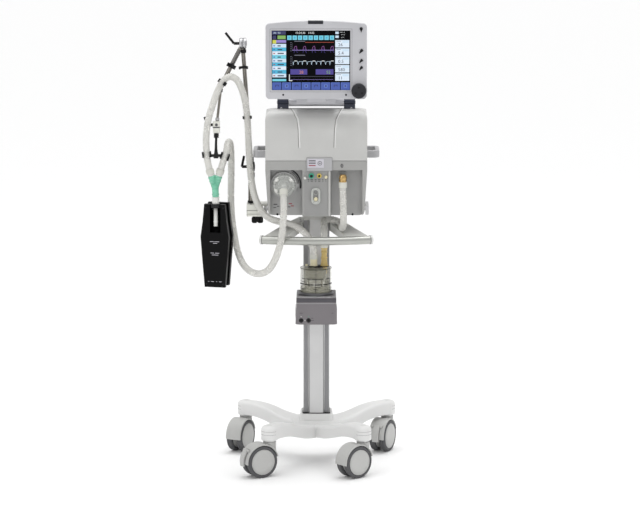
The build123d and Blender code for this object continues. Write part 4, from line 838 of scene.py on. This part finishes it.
cell(0.005, 0.010, 0.18, 0.070, "navy_cell")
cell(0.012, 0.085, 0.058, 0.150, "navy_cell")
cell(0.075, 0.085, 0.178, 0.145, "green")
write("38 / 52", 0.02, 0.056, 8, "pale")
write("10:24:36   14.02", 0.30, 0.056, 9, "white")
for i in range(9):
    u = 0.198 + 0.0675 * i
    cell(u, 0.085, u + 0.056, 0.158, "cyan")
    cell(u + 0.014, 0.102, u + 0.040, 0.140, "deep_cyan", 0.18)
for v0, v1 in ((0.020, 0.060), (0.085, 0.125)):
    cell(0.810, v0, 0.852, v1, "pale")
write("0.45  12", 0.868, 0.040, 4.5, "white")
write("30  1:2", 0.880, 0.078, 4.5, "white")
write("21 %", 0.885, 0.124, 4.5, "white")
for i, number in enumerate(("26", "5.4", "0.5", "580", "11")):
    v = 0.160 + 0.1395 * i
    cell(0.808, v, 0.988, v + 0.124, "ice")
    cell(0.900, v + 0.010, 0.980, v + 0.050, "pale", 0.16)
    write(number, 0.845, v + 0.104, 14, "dark_ink")
    rule(0.822, 0.880, v + 0.020, 1.2, "grey")
cell(0.012, 0.160, 0.058, 0.220, "yellow")
cell(0.058, 0.160, 0.184, 0.205, "violet")
for i, key in enumerate(("pale", "deep_cyan", "ice", "cyan", "pale", "deep_cyan", "ice", "deep_cyan", "pale")):
    v = 0.224 + 0.0625 * i
    cell(0.008, v, 0.184, v + 0.061, key)
    rule(0.020, 0.044, v + 0.034, 3.0, "red" if i % 3 == 2 else "blue")
    rule(0.075, 0.115 + 0.02 * (i % 3), v + 0.034, 3.4, "dark_ink")
cell(0.008, 0.812, 0.184, 0.850, "cyan")
# scales, pressure and flow against time
PLOT_END = 0.79
for v0, v1 in ((0.205, 0.340), (0.440, 0.600)):
    trace([(0.262, v0), (0.262, v1)], 0.5, "grey")
for i in range(5):
    rule(0.238, 0.254, 0.205 + 0.034 * i, 1.8, "grey")
    rule(0.238, 0.254, 0.440 + 0.036 * i, 1.8, "grey")
rule(0.290, 0.425, 0.180, 2.6, "grey")
rule(0.290, 0.425, 0.414, 2.6, "grey")
rule(0.425, 0.790, 0.199, 1.4, "red")
rule(0.262, 0.790, 0.330, 1.6, "violet")
for u in (0.285, 0.400, 0.517, 0.634, 0.750):
    hump = [(u, 0.327), (u + 0.004, 0.285), (u + 0.012, 0.268), (u + 0.030, 0.262), (u + 0.036, 0.318),
            (u + 0.045, 0.327)]
    trace(hump, 1.6, "magenta")
    trace([(a, b + 0.045) for a, b in hump], 0.8, "indigo")
    flow = [(u - 0.014, 0.524), (u - 0.010, 0.575), (u - 0.004, 0.530), (u + 0.006, 0.510), (u + 0.036, 0.510),
            (u + 0.044, 0.526), (u + 0.052, 0.572), (u + 0.058, 0.530), (u + 0.066, 0.519),
            (min(u + 0.115, PLOT_END), 0.517)]
    trace([p for p in flow if p[0] <= PLOT_END], 0.9, "pale")
    trace([(u + 0.004, 0.510), (u + 0.036, 0.510)], 1.9, "white", 0.3)
cell(0.238, 0.648, 0.452, 0.738, "indigo")
cell(0.560, 0.648, 0.785, 0.738, "indigo")
write("28", 0.350, 0.722, 13, "orange")
write("52", 0.695, 0.722, 13, "green")
rule(0.238, 0.785, 0.770, 0.7, "grey")
rule(0.238, 0.785, 0.822, 0.7, "violet")
trace([(0.225, 0.735), (0.225, 0.838)], 2.4, "white")
rule(0.220, 0.262, 0.840, 2.4, "white")
for i in range(8):
    u = 0.008 + 0.1245 * i
    cell(u, 0.870, u + 0.115, 0.995, "blue")
    rule(u + 0.004, u + 0.111, 0.874, 1.0, "blue_edge")
    trace([(u + 0.004, 0.874), (u + 0.004, 0.992)], 1.0, "blue_edge")
    if i % 2:
        cell(u + 0.036, 0.905, u + 0.080, 0.955, "blue_edge", 0.18)
        cell(u + 0.046, 0.918, u + 0.070, 0.942, "navy_cell", 0.24)
    else:
        trace([(u + 0.040, 0.950), (u + 0.040, 0.915), (u + 0.078, 0.915), (u + 0.078, 0.940)], 2.0, "navy_cell")
shape.done("screen_image", "monitor")

KEY_X, POWER_Z = 137.0, 1384
shape = Shape("ink", "black")
shape.strip([(-141, 1194), (109, 1194), (109, 1387), (-141, 1387), (-141, 1194)], 0.7, -210.08, 0)
for x in (-101, 91):
    shape.lathe([(0, 0), (3.0, 0), (2.6, 0.7), (0, 0.9)], (x, -210.1, 1185), FRONT, 1, 24)
shape.prism([(0, -9.5), (1.6, -3), (4.8, 2), (4.4, 6), (1.6, 8.6), (-1.6, 8.6), (-4.4, 6), (-4.8, 2), (-1.6, -3)],
            (KEY_X, -211.3, POWER_Z), FRONT, UP, 0.7, 1, 0.25)
shape.done("bezel_marks", "monitor")

KEY_SIDE = [(0, 203.6), (8.4, 203.6), (8.4, 206.4), (7, 206.8)]
LEAF = [(-6.4, -8.2), (-4.6, -1.0), (-2.6, 4.4), (0.6, 8.0), (3.8, 6.2), (6.6, 2.2), (5.2, -1.2), (0.4, -4.0)]
for node, z, size in (("key_1", 1319, 1.0), ("key_2", 1289, 0.92), ("key_3", 1267, 0.92)):
    shape = Shape("bezel", "black")
    shape.lathe([*KEY_SIDE, (7, 210.8), (6.4, 211.2), (0, 211.3)], (KEY_X, 0, z), FRONT, 0, 40)
    shape.prism([(a * size, b * size) for a, b in LEAF], (KEY_X, -211.15, z), FRONT, UP, 0.8, 1, 0.25)
    shape.done(node + "_leaf", node, node)
shape = Shape("bezel")
shape.lathe([*KEY_SIDE, (7, 210.1), (6.4, 210.7), (0, 210.8)], (KEY_X, 0, POWER_Z), FRONT, 0, 40)
shape.done("key_power_cap", "key_power", "key_power")

KNOB = (130, 0, 1198)
shape = Shape("knob", "black")
shape.lathe([(0, 212.5), (22.4, 212.5), (23, 213.4), (23, 228.4), (22, 230.6), (19.4, 231.8), (16, 232),
             (14.5, 231.2), (0, 230.2)], KNOB, FRONT, 0, 180, knurl(30, 0.9, 213, 231, 20))
shape.lathe([(0, 201), (6, 201), (6, 212.6)], KNOB, FRONT, 1, 32)
for place in face_arc(KNOB[0], -230.2, KNOB[2], 11.5, 90, 330, 3):
    shape.bead(place, FRONT, 3.6, 1.4, 1, 0.6, 24)
shape.done("knob_detail", "encoder_knob", "encoder_knob")

shape = Shape("steel", "black")
for side in (-1, 1):
    screw(shape, (side * 120.1, -110, 1150), (side, 0, 0), 5.6, 0, 1)
    screw(shape, (side * 108, -128.2, 1134), FRONT, 3.4, 0, 1)
shape.done("hinge_trim", "frame")
shape = Shape("ink", "steel", "black", "bezel")
for x in (-118, 118):
    for z in (1216, 1360):
        screw(shape, (x, -150.8, z), BACK, 3, 1, 2)
plate(shape, 0, 1282, 6, ((100, 100, -150.2), (100, 100, -148.8), (97, 97, -148.2)), 3)
for x in (-37.5, 37.5):
    for z in (1244.5, 1319.5):
        screw(shape, (x, -148.4, z), BACK, 3, 1, 2)
shape.pipe([(-84.9, -97.2, 1150), (84.9, -97.2, 1150)], 0.5, 0, 8)
shape.done("monitor_back_details", "monitor")

# ------------------------------------------------------------------ hose arm
FOOT, TOP = Vector((-203, -60, 958)), Vector((-227, -60, 1327))
ELBOW, LOWER = Vector((-294, -86, 1200)), Vector((-309, -103, 1072))
shape = Shape("black", "dark_steel", "steel", "clamp")
grip = knurl(20, 0.7, -9, 9)
for at, r, half, key in (((-203.5, -60, 942), 16, 11.5, 0), (TOP, 17, 11, 2)):
    shape.lathe([(0, -half), (r - 2, -half), (r, -half + 2), (r, -1), (r - 1.4, -0.5), (r - 1.4, 0.5), (r, 1),
                 (r, half - 2), (r - 2, half), (0, half)], at, RIGHT, key, 80, grip)
    shape.lathe([(0, 0), (r * 0.5, 0), (r * 0.44, 1.0), (0, 1.2)], Vector(at) + Vector((half, 0, 0)), RIGHT, 1, 24)
ball(shape, ELBOW, 10, 1, 32)
shape.prism(round_rect(22, 22, 4), (-309, -103, 1054.2), UP, BACK, 35.6, 3, 1.6)
shape.prism(round_rect(22.6, 22.6, 4), (-309, -103, 1070), UP, BACK, 4, 1, 0.6)
shape.bead((-309, -114.0, 1080), FRONT, 4.6, 2.4, 1, 0.8, 24)
shape.done("knuckles_detail", "frame", "arm_knuckles")

shape = Shape("dark_steel", "black", "steel")
way = (ELBOW - TOP).normalized()
for i in range(9):
    shape.lathe([(6.4, 0), (7.6, 0.4), (7.6, 3.0), (6.4, 3.4)], TOP + way * (24 + 6.5 * i), way, 0, 28)
shape.lathe([(6.4, 0), (8.6, 0.6), (8.6, 12), (6.4, 13)], ELBOW - way * 24, way, 1, 28)
down = (LOWER - ELBOW).normalized()
shape.lathe([(3.9, 0), (6.4, 0.6), (6.4, 11), (3.9, 12)], ELBOW + down * 10, down, 1, 28)
shape.lathe([(3.9, 0), (6.2, 0.6), (6.2, 9), (3.9, 10)], LOWER - down * 29, down, 2, 28)
for z, h in ((828, 8), (908, 16)):
    shape.lathe([(9.4, z), (11.2, z + 0.8), (11.2, z + h - 0.8), (9.4, z + h)], (FOOT.x, FOOT.y, 0), UP, 1, 32)
upper = (TOP - FOOT).normalized()
shape.lathe([(6.4, 0), (8.8, 0.6), (8.8, 14), (6.4, 15)], FOOT, upper, 1, 28)
shape.lathe([(6.4, 0), (8.6, 0.6), (8.6, 11), (6.4, 12)], TOP - upper * 30, upper, 1, 28)
outline = [(-3.0, 0), (3.0, 0), (4.4, -38), (8.0, -66), (-8.0, -66), (-4.4, -38)]
shape.prism(outline, (-310.2, -113.6, 1042), (0, -1, 0.11), (0, 0.11, 1), 5.2, 1, 1.2)
for z in (1040, 1045, 1050):
    shape.lathe([(6.6, 0), (8.2, 0.4), (8.2, 2.4), (6.6, 2.8)], (-309.3, -112.6, z), UP, 1, 28)
shape.done("arm_collars", "frame")

shape = Shape("steel", "black")
for y in (-84, -46):
    screw(shape, (-205, y, 827), UP, 3.6, 0, 1)
shape.box((-216.6, -95.5, 808), (-168, -94.9, 809.2), 1, 0.1)
shape.done("clamp_trim", "frame")

# -------------------------------------------------------------------- y-piece
JOIN, NECK = Vector((-313.5, -120, 890)), (-312, -120, 0)
RIBS = [(8.8, 0), (11, 0), (11, 3), (12.2, 3.6), (12.2, 5.6), (11, 6.2), (11, 14), (12.0, 14.6), (12.0, 16.4),
        (10.8, 17), (10.6, 34), (0, 34)]
shape = Shape("green_clear", "white_port", "black")
# a ribbed socket for the end of each patient hose
for last, before in (ROUTES["inspiratory_hose"][:-3:-1], ROUTES["expiratory_hose"][:2]):
    shape.lathe(RIBS, last, Vector(last) - Vector(before), 0, 36)
ball(shape, JOIN, 12.4, 0, 36)
shape.lathe([(10.6, 0), (10.4, 14), (10.2, 24), (11.4, 25), (11.4, 28), (10.3, 29), (10.3, 34)],
            JOIN, Vector((-312, -120, 856)) - JOIN, 0, 36)
shape.prism([(-9, 24), (9, 24), (5, 4), (-5, 4)], (-313.5, -118.6, 892), FRONT, UP, 2.8, 0, 0.6)
shape.lathe([(9, 834), (11, 834), (11, 838), (11.8, 839), (11.8, 843), (11, 844), (11, 852), (12.2, 853),
             (12.2, 855.4), (9, 856)], NECK, UP, 1, 40)
shape.lathe([(0, 822), (14.6, 822), (15.5, 823), (15.5, 832.4), (14.4, 834), (9, 834)], NECK, UP, 2, 72,
            knurl(24, 0.5, 822, 834, 15))
shape.done("y_piece_detail", "frame", "y_piece")

# ------------------------------------------------------------------ test lung
LUNG = Matrix.Translation((-309, -99, 0)) @ Matrix.Rotation(radians(-14), 4, "Z")
LUNG_CORNER = 5.0
LUNG_OUTLINE = [(572, 33), (670, 41), (730, 45.5), (778, 38.5), (833, 33)]


def lung_ring(inset, y):
    """The lung's waisted outline at one depth, its corners cut round."""
    right = [(half - inset, z) for z, half in LUNG_OUTLINE]
    right[0] = (right[0][0], right[0][1] + inset)
    right[-1] = (right[-1][0], right[-1][1] - inset)
    line = right + [(-x, z) for x, z in reversed(right)]
    out = []
    for i, here in enumerate(line):
        before, after = Vector(line[i - 1]), Vector(line[(i + 1) % len(line)])
        here = Vector(here)
        for share in (0, 1 / 3, 2 / 3, 1):
            a = here + (before - here).normalized() * LUNG_CORNER * (1 - share)
            b = here + (after - here).normalized() * LUNG_CORNER * share
            out.append(a * (1 - share) + b * share)
    return [LUNG @ Vector((p.x, y, p.y)) for p in out]


shape = Shape("lung_skin")
pleats = [(5.0 if k % 2 == 0 else 10.5, -13.6 + 38.6 * k / 12) for k in range(13)]
stack(shape, [lung_ring(inset, y) for inset, y in pleats], 0)
bellows = shape.done("bellows_pleats", None, "lung_bellows")
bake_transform(bellows)

shape = Shape("white_port")
shape.lathe([(4.6, 764), (6.4, 764), (6.4, 776), (7.4, 777), (7.4, 780), (6.4, 781), (6.4, 822), (4.6, 822)],
            NECK, UP, 0, 32)
shape.done("lung_neck", "frame")

LUNG_FRONT = LUNG.to_3x3() @ Vector(FRONT)
shape = Shape("label_plate", "black", "soft_black")
for z, spans in ((716, ((-15, -3), (-1, 15))), (711, ((-5, 8),)), (680, ((-13, -2), (1, 15))),
                 (674, ((-9, 12),)), (590, ((-22, -18), (-12, -3), (4, 7), (14, 22)))):
    for x0, x1 in spans:
        shape.prism([(x0, -0.7), (x1, -0.7), (x1, 0.7), (x0, 0.7)], LUNG @ Vector((0, -28.9, z)),
                    LUNG_FRONT, UP, 0.3, 0, 0)
for x, z in ((-27, 582), (27, 582), (-28, 822), (28, 822)):
    screw(shape, LUNG @ Vector((x, -29.1, z)), LUNG_FRONT, 2.6, 1, 2)
shape.done("lung_screws", "lung_front")

# -------------------------------------------------------------- floor and light
material, tree, bsdf = new_material("floor")
cloud = tree.nodes.new("ShaderNodeTexNoise")
cloud.inputs["Scale"].default_value = 3.0
white = (0.95, 0.95, 0.95)
ramp = two_tone(tree, cloud.outputs["Fac"], shade(white, 0.995), shade(white, 1.0))
tree.links.new(ramp.outputs["Color"], bsdf.inputs["Base Color"])
bsdf.inputs["Roughness"].default_value = 0.7
mesh = bpy.data.meshes.new("floor")
mesh.from_pydata([(-20, -20, 0), (20, -20, 0), (20, 20, 0), (-20, 20, 0)], [], [(0, 1, 2, 3)])
mesh.materials.append(material)
floor = bpy.data.objects.new("floor", mesh)
bpy.context.collection.objects.link(floor)

world = bpy.data.worlds.new("studio")
bpy.context.scene.world = world
world.use_nodes = True
tree = world.node_tree
where = tree.nodes.new("ShaderNodeTexCoord")
split = tree.nodes.new("ShaderNodeSeparateXYZ")
sky = tree.nodes.new("ShaderNodeValToRGB")
tree.links.new(where.outputs["Generated"], split.inputs["Vector"])
tree.links.new(split.outputs["Z"], sky.inputs["Fac"])
stops = ((0.0, 0.53), (0.07, 0.53), (0.26, 0.30), (0.70, 0.34), (0.92, 1.0))
while len(sky.color_ramp.elements) < len(stops):
    sky.color_ramp.elements.new(0.5)
for element, (height, glow) in zip(sky.color_ramp.elements, stops):
    element.position, element.color = height, (glow, glow, glow, 1.0)
tree.links.new(sky.outputs["Color"], tree.nodes["Background"].inputs["Color"])
tree.nodes["Background"].inputs["Strength"].default_value = 1.9


def softbox(name, place, aim, size, power):
    data = bpy.data.lights.new(name, "AREA")
    data.shape, data.size, data.size_y, data.energy = "RECTANGLE", size[0], size[1], power
    lamp = bpy.data.objects.new(name, data)
    lamp.location = place
    lamp.rotation_euler = (Vector(aim) - Vector(place)).to_track_quat("-Z", "Y").to_euler()
    bpy.context.collection.objects.link(lamp)


softbox("key", (-2.8, -3.0, 3.4), (0, 0, 0.8), (1.8, 1.8), 18)
softbox("fill", (3.2, -2.6, 1.8), (0, 0, 0.8), (1.6, 2.4), 6)
softbox("top", (0.2, 0.4, 3.6), (0, 0, 0.8), (1.8, 1.8), 26)

bpy.context.scene.view_settings.view_transform = "Standard"
